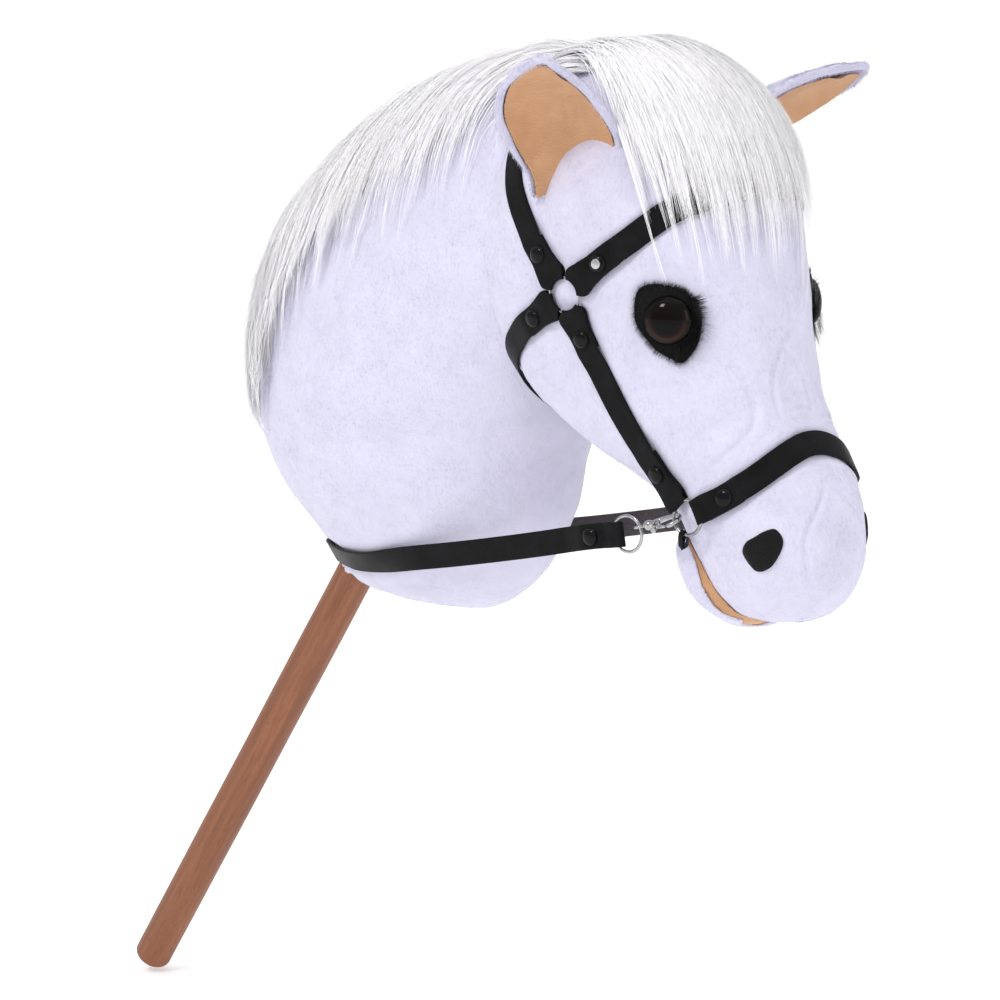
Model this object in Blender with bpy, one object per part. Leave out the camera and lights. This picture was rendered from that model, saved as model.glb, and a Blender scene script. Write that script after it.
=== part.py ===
"""Hobby horse: a stuffed plush head and neck on a leaning wooden stick, with a
press-studded bridle, rings, reins and swivel snap hooks.  Metres, +X forward
(nose), +Y the horse's left, +Z up.  The toy is held in its riding pose: the
stick leans back and the centre of its foot face is the origin."""

import math

import bmesh
import bpy
import numpy as np
from mathutils import Vector
from mathutils.bvhtree import BVHTree

# ---------------------------------------------------------------------------
# Driving dimensions
# ---------------------------------------------------------------------------
GAP = 0.0003  # between pieces that touch
STICK_LEAN = math.radians(34.9)
STICK_R = 0.013
STICK_LENGTH = 0.690
STICK_EDGE = 0.004  # rounded edge of the foot
SKIN_T = 0.0030  # plush fabric, pile and backing

STRAP_T = 0.0018
STRAP_W = 0.016
# Widths of the straps at the rings, along the wire
TEMPLE_END_W, BIT_END_W, CHEEK_END_W = 0.0124, 0.0155, 0.0130
LIFT = 0.0014  # underside of a strap over the skin
FOLD_GAP = 0.00035
TEMPLE_RING_R, TEMPLE_WIRE = 0.0113, 0.0007
BIT_RING_R, BIT_WIRE = 0.0108, 0.00115
SPLIT_RING_R, SPLIT_WIRE = 0.0112, 0.0011
STUD_R = 0.0052
CHIN_W, CHIN_T = 0.005, 0.0012

EYE_R = 0.015
EYE_STEM_R = 0.0025
WASHER_R = 0.010

HOOK_LENGTH = 0.0280  # eye centre to the wire that the claw holds
HOOK_ROLL = math.radians(62)  # the claw's plane about the hook's line
CLAW_AT, CLAW_R = 0.0261, 0.0056
SPLIT_HOLD, BIT_HOLD = math.radians(30), math.radians(196)  # where each ring is held
GATE_PIN = (0.0130, -0.0018)
GATE_PIN_R = 0.0007

BIT_RING_AT = np.array([0.5770, -0.0625, 0.4022])
HOOK_LINE = np.array([0.954, 0.055, 0.260])  # from the split ring to the bit ring
TEMPLE_AT = np.array([0.496, -0.085, 0.533])

# Stations of the two stuffed bodies: rear x, rear z, front x, front z, half
# width, place of the widest point (0 rear .. 1 front), roundness rear, front.
HEAD = [
    (0.585, 0.335, 0.612, 0.334, 0.014, 0.50, 2.0, 2.0),
    (0.568, 0.341, 0.631, 0.340, 0.031, 0.50, 2.1, 2.2),
    (0.556, 0.355, 0.642, 0.355, 0.043, 0.50, 2.2, 2.3),
    (0.549, 0.372, 0.647, 0.375, 0.050, 0.50, 2.2, 2.3),
    (0.541, 0.388, 0.645, 0.396, 0.054, 0.48, 2.2, 2.3),
    (0.531, 0.402, 0.638, 0.417, 0.057, 0.46, 2.2, 2.3),
    (0.505, 0.416, 0.622, 0.441, 0.060, 0.44, 2.2, 2.4),
    (0.463, 0.434, 0.606, 0.473, 0.068, 0.41, 2.3, 2.4),
    (0.424, 0.462, 0.597, 0.508, 0.077, 0.38, 2.3, 2.4),
    (0.396, 0.499, 0.591, 0.544, 0.083, 0.37, 2.3, 2.4),
    (0.382, 0.542, 0.582, 0.582, 0.085, 0.40, 2.3, 2.4),
    (0.385, 0.587, 0.567, 0.616, 0.081, 0.44, 2.2, 2.4),
    (0.400, 0.626, 0.549, 0.646, 0.069, 0.48, 2.1, 2.2),
    (0.420, 0.655, 0.524, 0.666, 0.048, 0.50, 2.0, 2.0),
    (0.450, 0.674, 0.495, 0.677, 0.018, 0.50, 2.0, 2.0),
]
NECK = [
    (0.225, 0.3085, 0.340, 0.3030, 0.022, 0.55, 1.5, 2.0),
    (0.206, 0.3160, 0.360, 0.3110, 0.040, 0.56, 1.35, 2.0),
    (0.202, 0.3300, 0.377, 0.3260, 0.053, 0.55, 1.35, 2.1),
    (0.190, 0.3480, 0.390, 0.3460, 0.064, 0.54, 1.6, 2.1),
    (0.166, 0.3760, 0.401, 0.3740, 0.076, 0.53, 1.8, 2.1),
    (0.150, 0.4120, 0.409, 0.4080, 0.083, 0.52, 1.9, 2.1),
    (0.149, 0.4600, 0.424, 0.4420, 0.085, 0.52, 1.9, 2.1),
    (0.157, 0.5080, 0.444, 0.4700, 0.084, 0.52, 1.9, 2.1),
    (0.177, 0.5490, 0.466, 0.5000, 0.081, 0.52, 1.9, 2.1),
    (0.213, 0.5860, 0.486, 0.5300, 0.077, 0.52, 1.9, 2.1),
    (0.252, 0.6160, 0.502, 0.5600, 0.071, 0.50, 1.9, 2.1),
    (0.300, 0.6420, 0.512, 0.5900, 0.063, 0.50, 1.9, 2.1),
    (0.350, 0.6600, 0.514, 0.6150, 0.053, 0.50, 1.9, 2.1),
    (0.398, 0.6680, 0.508, 0.6350, 0.036, 0.50, 2.0, 2.0),
    (0.438, 0.6640, 0.490, 0.6500, 0.014, 0.50, 2.0, 2.0),
]
LOWER_LIP = [
    (0.5480, 0.3820, 0.566, 0.3850, 0.020, 0.5, 2.0, 2.0),
    (0.5345, 0.3760, 0.586, 0.3840, 0.036, 0.5, 2.0, 2.0),
    (0.5350, 0.3630, 0.594, 0.3800, 0.044, 0.5, 2.0, 2.0),
    (0.5430, 0.3470, 0.600, 0.3700, 0.045, 0.5, 2.0, 2.0),
    (0.5550, 0.3345, 0.606, 0.3620, 0.041, 0.5, 2.0, 2.0),
    (0.5710, 0.3265, 0.612, 0.3570, 0.032, 0.5, 2.0, 2.0),
    (0.5880, 0.3275, 0.615, 0.3500, 0.015, 0.5, 2.0, 2.0),
]

# Outlines on the skin, in millimetres from their centre: across, up
EYE_PATCH = [
    (20.3, -1.3), (18.4, 5.7), (14.6, 12.7), (8.3, 18.4), (1.3, 20.3), (-7.6, 21.6),
    (-17.0, 19.7), (-21.6, 13.3), (-22.2, 0.0), (-19.0, -7.0), (-12.7, -14.0),
    (-6.4, -19.7), (1.3, -23.5), (8.3, -26.0), (14.5, -20.0), (18.6, -12.0),
]
NOSTRIL = [
    (12.6, 6.3), (7.6, 13.2), (0.6, 11.3), (-5.0, 7.8), (-10.7, 3.8), (-13.2, -2.5),
    (-8.8, -10.0), (-2.5, -13.9), (5.0, -10.5), (10.5, -2.5),
]
# Ear outline: left and right edge at each height, in millimetres, tip last
EAR_EDGES = [
    (-0.20, -24.0, 24.0), (0.0, -27.0, 25.0), (0.25, -37.0, 29.0), (0.50, -44.0, 21.0),
    (0.75, -41.0, 6.0), (0.92, -30.0, -9.0), (1.0, -20.5, -15.0),
]


def clear_scene():
    for obj in list(bpy.data.objects):
        bpy.data.objects.remove(obj, do_unlink=True)


def unit(v):
    v = np.asarray(v, float)
    return v / np.linalg.norm(v)


def smoothstep(a, b, x):
    t = min(max((x - a) / (b - a), 0.0), 1.0)
    return t * t * (3 - 2 * t)


def flip(v):
    return np.array([v[0], -v[1], v[2]])


def material(name, colour, roughness, metallic=0.0):
    mat = bpy.data.materials.new(name)
    mat.use_nodes = True
    bsdf = mat.node_tree.nodes["Principled BSDF"]
    bsdf.inputs["Base Color"].default_value = (*colour, 1.0)
    bsdf.inputs["Roughness"].default_value = roughness
    bsdf.inputs["Metallic"].default_value = metallic
    mat.diffuse_color = (*colour, 1.0)
    return mat


LOOKS = {
    "plush": ((0.83, 0.81, 0.90), 0.95, 0.0),
    "stuffing": ((0.92, 0.92, 0.90), 1.0, 0.0),
    "hair": ((0.86, 0.85, 0.86), 0.60, 0.0),
    "tan": ((0.80, 0.42, 0.18), 0.90, 0.0),
    "felt": ((0.010, 0.010, 0.011), 0.95, 0.0),
    "fur": ((0.008, 0.008, 0.008), 0.80, 0.0),
    "eye": ((0.030, 0.012, 0.006), 0.05, 0.0),
    "washer": ((0.70, 0.70, 0.68), 0.50, 0.0),
    "leather": ((0.014, 0.014, 0.016), 0.45, 0.0),
    "stud": ((0.010, 0.010, 0.011), 0.25, 0.6),
    "ring": ((0.18, 0.18, 0.19), 0.25, 1.0),
    "nickel": ((0.72, 0.72, 0.73), 0.20, 1.0),
    "wood": ((0.45, 0.18, 0.08), 0.50, 0.0),
}


# ---------------------------------------------------------------------------
# Mesh tools
# ---------------------------------------------------------------------------
def add(name, verts, faces, look, smooth=True, angle=40.0):
    mesh = bpy.data.meshes.new(name)
    mesh.from_pydata([tuple(map(float, v)) for v in verts], [], faces)
    bm = bmesh.new()
    bm.from_mesh(mesh)
    bmesh.ops.recalc_face_normals(bm, faces=bm.faces)
    bm.to_mesh(mesh)
    bm.free()
    if smooth:
        mesh.shade_smooth()
        mesh.set_sharp_from_angle(angle=math.radians(angle))
    obj = bpy.data.objects.new(name, mesh)
    bpy.context.scene.collection.objects.link(obj)
    if look:
        mesh.materials.append(material(name + "_material", *LOOKS[look]))
    else:
        obj.hide_render = True
        obj.display_type = "WIRE"
    return obj


def guide(name, verts, faces):
    return add(name, verts, faces, None, smooth=False)


def boolean(obj, operation, *others):
    for k, other in enumerate(others):
        mod = obj.modifiers.new(f"{operation.lower()}_{k}", "BOOLEAN")
        mod.operation = operation
        mod.solver = "EXACT"
        mod.object = other


def settle(obj):
    """Writes the modifiers' result into the object's own mesh."""
    graph = bpy.context.evaluated_depsgraph_get()
    mesh = bpy.data.meshes.new_from_object(obj.evaluated_get(graph))
    obj.modifiers.clear()
    obj.data = mesh
    return obj


def tree_of(obj):
    """A nearest-point reader with smooth normals for an object's mesh."""
    graph = bpy.context.evaluated_depsgraph_get()
    mesh = obj.evaluated_get(graph).to_mesh()
    mesh.calc_loop_triangles()
    verts = [v.co.copy() for v in mesh.vertices]
    tris = [tuple(t.vertices) for t in mesh.loop_triangles]
    normals = [Vector((0, 0, 0)) for _ in verts]
    for a, b, c in tris:
        n = (verts[b] - verts[a]).cross(verts[c] - verts[a])
        for k in (a, b, c):
            normals[k] += n
    normals = [n.normalized() for n in normals]
    return BVHTree.FromPolygons(verts, tris), verts, tris, normals


def snap(tree, p):
    """Nearest point of the surface and its smooth outward normal."""
    bvh, verts, tris, normals = tree
    co, flat, index, _ = bvh.find_nearest(Vector(p))
    total, weight = Vector((0, 0, 0)), 0.0
    for k in tris[index]:
        w = 1.0 / ((verts[k] - co).length + 0.002)
        total += normals[k] * w
        weight += w
    return np.array(co), unit(np.array(total / weight))


def height_over(tree, p):
    co, flat, _, _ = tree[0].find_nearest(Vector(p))
    return float((Vector(p) - co).dot(flat))


def catmull(rows, n):
    """Resamples rows of values with a Catmull-Rom spline."""
    rows = np.array(rows, float)
    pad = np.vstack([2 * rows[0] - rows[1], rows, 2 * rows[-1] - rows[-2]])
    out = []
    for s in np.linspace(0, len(rows) - 1, n):
        i = min(int(s), len(rows) - 2)
        t = s - i
        p0, p1, p2, p3 = pad[i], pad[i + 1], pad[i + 2], pad[i + 3]
        out.append(
            0.5
            * (
                2 * p1
                + (p2 - p0) * t
                + (2 * p0 - 5 * p1 + 4 * p2 - p3) * t * t
                + (3 * p1 - p0 - 3 * p2 + p3) * t**3
            )
        )
    return np.array(out)


def section_point(row, angle, inset):
    """A point of a station's closed outline.  Angle 0 is the front."""
    rx, rz, fx, fz, w, mid, nr, nf = row
    rear, front = np.array([rx, 0, rz]), np.array([fx, 0, fz])
    axis = front - rear
    length = np.linalg.norm(axis)
    axis = axis / length
    length = max(length - 2 * inset, 0.002)
    w = max(w - inset, 0.001)
    rear = (rear + front) / 2 - axis * length / 2
    c, s = math.cos(angle), math.sin(angle)
    n = nf if c >= 0 else nr
    half = length * (1 - mid) if c >= 0 else length * mid
    u = math.copysign(abs(c) ** (2 / n), c) * half
    v = math.copysign(abs(s) ** (2 / n), s) * w
    return rear + axis * (length * mid + u) + np.array([0, v, 0])


def loft(rows, rings, around, inset=0.0):
    """A closed body through the stations, shrunk by inset all round."""
    rows = catmull(rows, rings)
    if inset:
        middle = rows[:, 0:2] / 2 + rows[:, 2:4] / 2
        for j, k in ((0, 2), (-1, -3)):
            step = unit(middle[k] - middle[j]) * inset
            rows[j, :4] += np.tile(step, 2)
    verts, faces = [], []
    for row in rows:
        verts += [section_point(row, 2 * math.pi * k / around, inset) for k in range(around)]
    n = len(rows)
    for i in range(n - 1):
        for k in range(around):
            a, b = i * around + k, i * around + (k + 1) % around
            faces.append((a, b, b + around, a + around))
    verts.append(np.mean(verts[:around], axis=0))
    verts.append(np.mean(verts[(n - 1) * around : n * around], axis=0))
    for k in range(around):
        faces.append((len(verts) - 2, (k + 1) % around, k))
        faces.append((len(verts) - 1, (n - 1) * around + k, (n - 1) * around + (k + 1) % around))
    return verts, faces


def lathe(profile, at, axis, segments):
    """Turns (radius, height) points about an axis; both ends on the axis."""
    axis = unit(axis)
    u = unit(np.cross(axis, [0.3, 0.2, 0.93]))
    v = np.cross(axis, u)
    verts, faces, rings = [], [], []
    for r, h in profile:
        if r < 1e-7:
            rings.append([len(verts)])
            verts.append(at + axis * h)
        else:
            rings.append(list(range(len(verts), len(verts) + segments)))
            for k in range(segments):
                a = 2 * math.pi * k / segments
                verts.append(at + axis * h + (u * math.cos(a) + v * math.sin(a)) * r)
    for low, high in zip(rings, rings[1:]):
        for k in range(segments):
            j = (k + 1) % segments
            if len(low) == 1:
                faces.append((low[0], high[k], high[j]))
            elif len(high) == 1:
                faces.append((low[k], low[j], high[0]))
            else:
                faces.append((low[k], low[j], high[j], high[k]))
    return verts, faces


def torus(at, axis, major, minor, around=20, across=6, squash=1.0):
    axis = unit(axis)
    u = unit(np.cross(axis, [0.3, 0.2, 0.93]))
    v = np.cross(axis, u)
    verts, faces = [], []
    for i in range(around):
        a = 2 * math.pi * i / around
        out = u * math.cos(a) + v * math.sin(a)
        for k in range(across):
            b = 2 * math.pi * (k + 0.5) / across
            verts.append(at + out * (major + minor * math.cos(b)) + axis * minor * squash * math.sin(b))
    for i in range(around):
        for k in range(across):
            a, b = i * across + k, i * across + (k + 1) % across
            c, d = ((i + 1) % around) * across + (k + 1) % across, ((i + 1) % around) * across + k
            faces.append((a, b, c, d))
    return verts, faces


def ribbon(points, normals, widths, bends, thickness=STRAP_T):
    """A flat strap of rectangular section along a path.  Where it has a bend
    its section follows the ring's circle, as leather folded round wire does."""
    points, normals = np.array(points), np.array(normals)
    verts, rows, faces = [], [], []
    for i, (p, n) in enumerate(zip(points, normals)):
        a, b = points[max(i - 1, 0)], points[min(i + 1, len(points) - 1)]
        t = unit(b - a)
        side = unit(np.cross(t, n))
        n = unit(np.cross(side, t))
        low, top = [], []
        for f in (-1, -0.5, 0, 0.5, 1) if bends[i] else (-1, 1):
            x = f * widths[i] / 2
            c, m = p + side * x, n
            if bends[i]:
                amount, out, radius, away = bends[i]
                turned = out * math.cos(x / radius) + side * math.sin(x / radius)
                c = p + side * x * (1 - amount) + (turned - out) * (radius + away) * amount
                m = n + (turned - out) * (n @ out) * amount
            low.append(len(verts))
            verts.append(c - m * thickness / 2)
            top.append(len(verts))
            verts.append(c + m * thickness / 2)
        rows.append((low, top))
    for (low, top), (low2, top2) in zip(rows, rows[1:]):
        faces.append((low[-1], top[-1], top2[-1], low2[-1]))
        faces.append((top[0], low[0], low2[0], top2[0]))
        if len(low) == len(low2):
            for k in range(len(low) - 1):
                faces.append((low[k], low[k + 1], low2[k + 1], low2[k]))
                faces.append((top[k + 1], top[k], top2[k], top2[k + 1]))
        else:
            faces.append(tuple(low + low2[::-1]))
            faces.append(tuple(top[::-1] + top2))
    low, top = rows[0]
    faces.append(tuple(top + low[::-1]))
    low, top = rows[-1]
    faces.append(tuple(low + top[::-1]))
    return verts, faces


def plate(outline, z0, z1, at, ex, ey, ez):
    """Extrudes a flat outline between two heights of a local frame."""
    n = len(outline)
    verts = [at + ex * x + ey * y + ez * z for z in (z0, z1) for x, y in outline]
    faces = [(k, (k + 1) % n, n + (k + 1) % n, n + k) for k in range(n)]
    faces.append(tuple(range(n - 1, -1, -1)))
    faces.append(tuple(range(n, 2 * n)))
    return verts, faces


def thick_line(points, widths):
    """Outline of a bent bar drawn about a centre line."""
    points = np.array(points, float)
    left, right = [], []
    for i, p in enumerate(points):
        t = unit(points[min(i + 1, len(points) - 1)] - points[max(i - 1, 0)])
        n = np.array([-t[1], t[0]])
        left.append(tuple(p + n * widths[i] / 2))
        right.append(tuple(p - n * widths[i] / 2))
    return left + right[::-1]


# ---------------------------------------------------------------------------
# Straps with ring loops
# ---------------------------------------------------------------------------
class Ring:
    def __init__(self, at, normal, radius, wire):
        self.at, self.normal = np.asarray(at, float), unit(normal)
        self.radius, self.wire = radius, wire
        self.loop = wire + 0.0006 + STRAP_T / 2  # mid leather to wire centre

    def mirrored(self):
        return Ring(flip(self.at), flip(self.normal), self.radius, self.wire)


class Path:
    """A strap's run over the skin, measured from its first point."""

    def __init__(self, points, normals, step=0.004):
        points, normals = np.array(points), np.array(normals)
        fine = catmull(np.hstack([points, normals]), (len(points) - 1) * 12 + 1)
        self.p, self.n = fine[:, :3], fine[:, 3:]
        self.s = np.concatenate([[0], np.cumsum(np.linalg.norm(np.diff(self.p, axis=0), axis=1))])
        self.length = self.s[-1]

    def at(self, s):
        p = np.array([np.interp(s, self.s, self.p[:, k]) for k in range(3)])
        n = unit([np.interp(s, self.s, self.n[:, k]) for k in range(3)])
        return p, n


def strap(path, first, last, fold_first, fold_last, width, ends, spacing=0.013, thick=STRAP_T):
    """Frames of a strap that folds round a ring at either end.  Returns its
    points, normals and widths, how each is bent to its ring, and which frames
    lie on each other."""
    base = LIFT + thick / 2
    stack = thick + FOLD_GAP

    def across(ring):
        """The strap's width where it folds round this ring's wire."""
        return ends[0] if abs(ring.radius - TEMPLE_RING_R) < 1e-6 else ends[1]

    def bend(ring, t, d):
        amount = 1 - smoothstep(0.003, 0.012, d)
        return (float(amount), t, ring.radius, d) if amount > 0.001 else None

    def layer(ring, sign, d, top, fold):
        """A point d past the ring's wire, on the upper or the lower layer."""
        loop = ring.wire + 0.0006 + thick / 2
        s = ring.radius + d
        p, n = path.at(s if sign > 0 else path.length - s)
        q, _ = path.at(ring.radius + 0.012 if sign > 0 else path.length - ring.radius - 0.012)
        t = q - ring.at
        t = unit(t - ring.normal * (t @ ring.normal))
        rise = 2 * loop + (stack - 2 * loop) * smoothstep(0.001, 0.008, d)
        lay = stack * (1 - smoothstep(fold + 0.001, fold + 0.011, d))
        near = ring.at + t * (ring.radius + d) + ring.normal * (-loop + (rise if top else 0.0))
        away = p + n * (base + (lay if top else 0.0))
        w = smoothstep(0.006, 0.020, d)
        return near * (1 - w) + away * w, unit(ring.normal * (1 - w) + n * w), bend(ring, t, d)

    def width_at(ring, d):
        return across(ring) + (width - across(ring)) * smoothstep(0.0015, 0.008, d)

    def spots(fold):
        return (0.002, 0.005, 0.009, 0.009 + (fold - 0.009) * 0.35, 0.009 + (fold - 0.009) * 0.68, fold)

    def end(ring, sign, fold):
        """Lower layer from its cut end to the ring, then round the wire."""
        q, _ = path.at(ring.radius + 0.012 if sign > 0 else path.length - ring.radius - 0.012)
        t = q - ring.at
        t = unit(t - ring.normal * (t @ ring.normal))
        out = []
        for d in reversed(spots(fold)):
            p, n, b = layer(ring, sign, d, False, fold)
            out.append((p, -n, width_at(ring, d), b))
        inner = ring.at + t * ring.radius
        loop = ring.wire + 0.0006 + thick / 2
        for k in range(7):
            a = -math.pi / 2 - math.pi * k / 6
            radial = t * math.cos(a) + ring.normal * math.sin(a)
            out.append((inner + radial * loop, radial, across(ring), (1.0, t, ring.radius, loop * math.cos(a))))
        for d in spots(fold) + (fold + 0.006,):
            p, n, b = layer(ring, sign, d, True, fold)
            out.append((p, n, width_at(ring, d), b))
        return out

    frames = end(first, 1, fold_first)
    turn = len(frames)
    start, stop = first.radius + fold_first + 0.014, path.length - last.radius - fold_last - 0.014
    count = max(int(round((stop - start) / spacing)), 2)
    for s in np.linspace(start, stop, count + 1):
        da, db = s - first.radius, path.length - s - last.radius
        if da < db:
            p, n, b = layer(first, 1, da, True, fold_first)
            w = width_at(first, da)
        else:
            p, n, b = layer(last, -1, db, True, fold_last)
            w = width_at(last, db)
        frames.append((p, n, w, b))
    frames += end(last, -1, fold_last)[::-1]
    total = len(frames)
    pairs = [(k, turn - 2 - k) for k in range(6)] + [(total - 1 - k, total - turn + 1 + k) for k in range(6)]
    return [f[0] for f in frames], [f[1] for f in frames], [f[2] for f in frames], [f[3] for f in frames], pairs


def clear_of(trees, points, normals, widths, pairs, least=0.0011, passes=10):
    """Lifts strap frames until their under edge clears the stuffed bodies.
    A doubled end moves as one; the loops round the rings stay."""
    points = [np.array(p) for p in points]
    below = dict(pairs)
    above = {b: a for a, b in pairs}
    last = len(points) - 1
    loops = set(range(6, 13)) | set(range(last - 12, last - 5))
    for _ in range(passes):
        push = np.zeros(len(points))
        for i, (p, n) in enumerate(zip(points, normals)):
            if i in loops or i in above:
                continue
            t = unit(points[min(i + 1, last)] - points[max(i - 1, 0)])
            side = unit(np.cross(t, n))
            worst = 1.0
            for tree in trees:
                for k in (-0.5, -0.25, 0.0, 0.25, 0.5):
                    for h in (-0.5, 0.5):
                        worst = min(worst, height_over(tree, p + side * widths[i] * k + n * h * STRAP_T))
            if worst < least:
                push[i] = least - worst
        for low, top in pairs:
            push[top] = push[low]
        if push.max() < 1e-5:
            break
        spread = push.copy()
        for i in range(len(push)):
            for j in (i - 1, i + 1):
                if 0 <= j <= last and i not in loops and i not in above and i not in below:
                    spread[i] = max(spread[i], push[j] * 0.5)
        for i in range(len(points)):
            up = -normals[i] if i in below else normals[i]
            points[i] = points[i] + up * spread[i]
    return points


def stud(name, at, normal):
    """Press stud through both layers: domed cap, shank and back plate.
    `at` is the middle of the lower layer."""
    top = STRAP_T * 1.5 + FOLD_GAP + 2 * GAP
    back = -STRAP_T / 2 - 2 * GAP
    profile = [
        (0, top + 0.0021), (STUD_R * 0.62, top + 0.0017), (STUD_R, top + 0.0002), (STUD_R * 0.9, top),
        (0.0012, top), (0.0012, back), (0.0030, back), (0.0030, back - 0.0005), (0, back - 0.0005),
    ]
    return add(name, *lathe(profile, at, normal, 8), "stud")


def stud_hole(name, at, normal):
    profile = [(0, -0.004), (0.0015, -0.004), (0.0015, 0.006), (0, 0.006)]
    return guide(name, *lathe(profile, at, normal, 8))


# ---------------------------------------------------------------------------
# Patches that follow the skin
# ---------------------------------------------------------------------------
def skin_frame(tree, at, side):
    p, n = snap(tree, at)
    across = unit(np.cross([0, 0, 1.0], n)) * (-1 if side > 0 else 1)
    up = unit(np.cross(n, across)) * (1 if np.cross(n, across)[2] > 0 else -1)
    return p, n, across, up


def skin_patch(tree, at, side, outline, low, high, hole=0.0, rings=4, count=None):
    """A thin closed pad over the skin inside an outline (mm)."""
    p, n, across, up = skin_frame(tree, at, side)
    outline = np.array(outline) / 1000
    closed = np.vstack([outline, outline[:1]])
    if count:
        fine = catmull(np.vstack([outline[-1:], closed, outline[1:2]]), (len(outline) + 2) * 8 + 1)[8:-8]
        s = np.concatenate([[0], np.cumsum(np.linalg.norm(np.diff(fine, axis=0), axis=1))])
        pick = np.linspace(0, s[-1], count, endpoint=False)
        outline = np.stack([np.interp(pick, s, fine[:, k]) for k in range(2)], 1)
    m = len(outline)
    layers = []
    for h in (low, high):
        rows = []
        for r in range(rings + 1):
            f = r / rings
            if r == 0 and not hole:
                rows.append([(0.0, 0.0)])
            else:
                ring = []
                for x, y in outline:
                    rad = math.hypot(x, y)
                    k = f if not hole else (hole + (rad - hole) * f) / rad
                    ring.append((x * k, y * k))
                rows.append(ring)
        pts = []
        for row in rows:
            got = []
            for x, y in row:
                q, m_ = snap(tree, p + across * x + up * y)
                got.append(q + m_ * h)
            pts.append(got)
        layers.append(pts)
    verts, faces, index = [], [], []
    for pts in layers:
        block = []
        for row in pts:
            block.append(list(range(len(verts), len(verts) + len(row))))
            verts += row
        index.append(block)
    for block, turn in ((index[0], True), (index[1], False)):
        for a, b in zip(block, block[1:]):
            for k in range(m):
                j = (k + 1) % m
                f = (a[0], b[k], b[j]) if len(a) == 1 else (a[k], b[k], b[j], a[j])
                faces.append(f[::-1] if turn else f)
    for k in range(m):
        j = (k + 1) % m
        faces.append((index[0][-1][k], index[1][-1][k], index[1][-1][j], index[0][-1][j]))
        if hole:
            faces.append((index[0][0][k], index[0][0][j], index[1][0][j], index[1][0][k]))
    return verts, faces


def ear(at, across, up, out, low, high, margin, t0, t1, cup, rows=9, cols=8):
    """An ear leaf.  across, up and out are its axes; low and high are the
    heights of its two faces over its cupped middle surface."""
    edges = np.array(EAR_EDGES)
    fine = catmull(edges, 97)
    verts, faces = [], []
    for h in (low, high):
        for i in range(rows + 1):
            t = t0 + (t1 - t0) * i / rows
            left = np.interp(t, fine[:, 0], fine[:, 1]) / 1000
            right = np.interp(t, fine[:, 0], fine[:, 2]) / 1000
            mid, half = (left + right) / 2, max((right - left) / 2 - margin, 0.001)
            for k in range(cols + 1):
                v = -1 + 2 * k / cols
                x = mid + half * v
                depth = -cup * (1 - v * v) * (1 - 0.6 * max(t, 0) ** 2) * (half / 0.033)
                lean = 0.010 * max(t, 0) ** 2
                thin = 1.0 - 0.45 * v * v
                verts.append(
                    at + across * x + up * (t * EAR_LENGTH) + out * (depth + lean + h * thin)
                )
    size = (rows + 1) * (cols + 1)
    for i in range(rows):
        for k in range(cols):
            a = i * (cols + 1) + k
            quad = (a, a + 1, a + cols + 2, a + cols + 1)
            faces.append(quad[::-1])
            faces.append(tuple(q + size for q in quad))
    rim = (
        [k for k in range(cols + 1)]
        + [i * (cols + 1) + cols for i in range(1, rows + 1)]
        + [rows * (cols + 1) + k for k in range(cols - 1, -1, -1)]
        + [i * (cols + 1) for i in range(rows - 1, 0, -1)]
    )
    for a, b in zip(rim, rim[1:] + rim[:1]):
        faces.append((a, b, b + size, a + size))
    return verts, faces


EAR_LENGTH = 0.0855


def hair_slab(rows, keep, angles, low, high, along, across):
    """A curved slab of hair over part of a stuffed body."""
    rows = catmull(rows, 141)[int(keep[0] * 140) : int(keep[1] * 140) + 1]
    pick = [rows[int(round(s))] for s in np.linspace(0, len(rows) - 1, along + 1)]
    verts, faces = [], []
    for top in (False, True):
        for i, row in enumerate(pick):
            f = i / along
            a0, a1 = angles(f)
            for k in range(across + 1):
                g = k / across
                edge = math.sin(math.pi * g) ** 0.5 if 0 < g < 1 else 0.0
                taper = min(1.0, math.sin(math.pi * min(max(f, 0.0), 1.0)) * 2.2) if 0 < f < 1 else 0.0
                rise = low + ((0.002 + (high - low - 0.002) * edge * (0.35 + 0.65 * taper)) if top else 0.0)
                verts.append(section_point(row, a0 + (a1 - a0) * g, -rise))
    size = (along + 1) * (across + 1)
    for i in range(along):
        for k in range(across):
            a = i * (across + 1) + k
            quad = (a, a + 1, a + across + 2, a + across + 1)
            faces.append(quad)
            faces.append(tuple(q + size for q in quad[::-1]))
    rim = (
        [k for k in range(across + 1)]
        + [i * (across + 1) + across for i in range(1, along + 1)]
        + [along * (across + 1) + k for k in range(across - 1, -1, -1)]
        + [i * (across + 1) for i in range(along - 1, 0, -1)]
    )
    for a, b in zip(rim, rim[1:] + rim[:1]):
        faces.append((b, a, a + size, b + size))
    return verts, faces


# ---------------------------------------------------------------------------
# The pieces
# ---------------------------------------------------------------------------
def build_stick():
    d = np.array([math.sin(STICK_LEAN), 0, math.cos(STICK_LEAN)])
    e = STICK_EDGE
    profile = [
        (0, 0), (STICK_R - e, 0), (STICK_R - e * 0.3, e * 0.3), (STICK_R, e),
        (STICK_R, STICK_LENGTH - 0.002), (STICK_R - 0.002, STICK_LENGTH), (0, STICK_LENGTH),
    ]
    return add("stick", *lathe(profile, np.zeros(3), d, 24), "wood"), d


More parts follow.
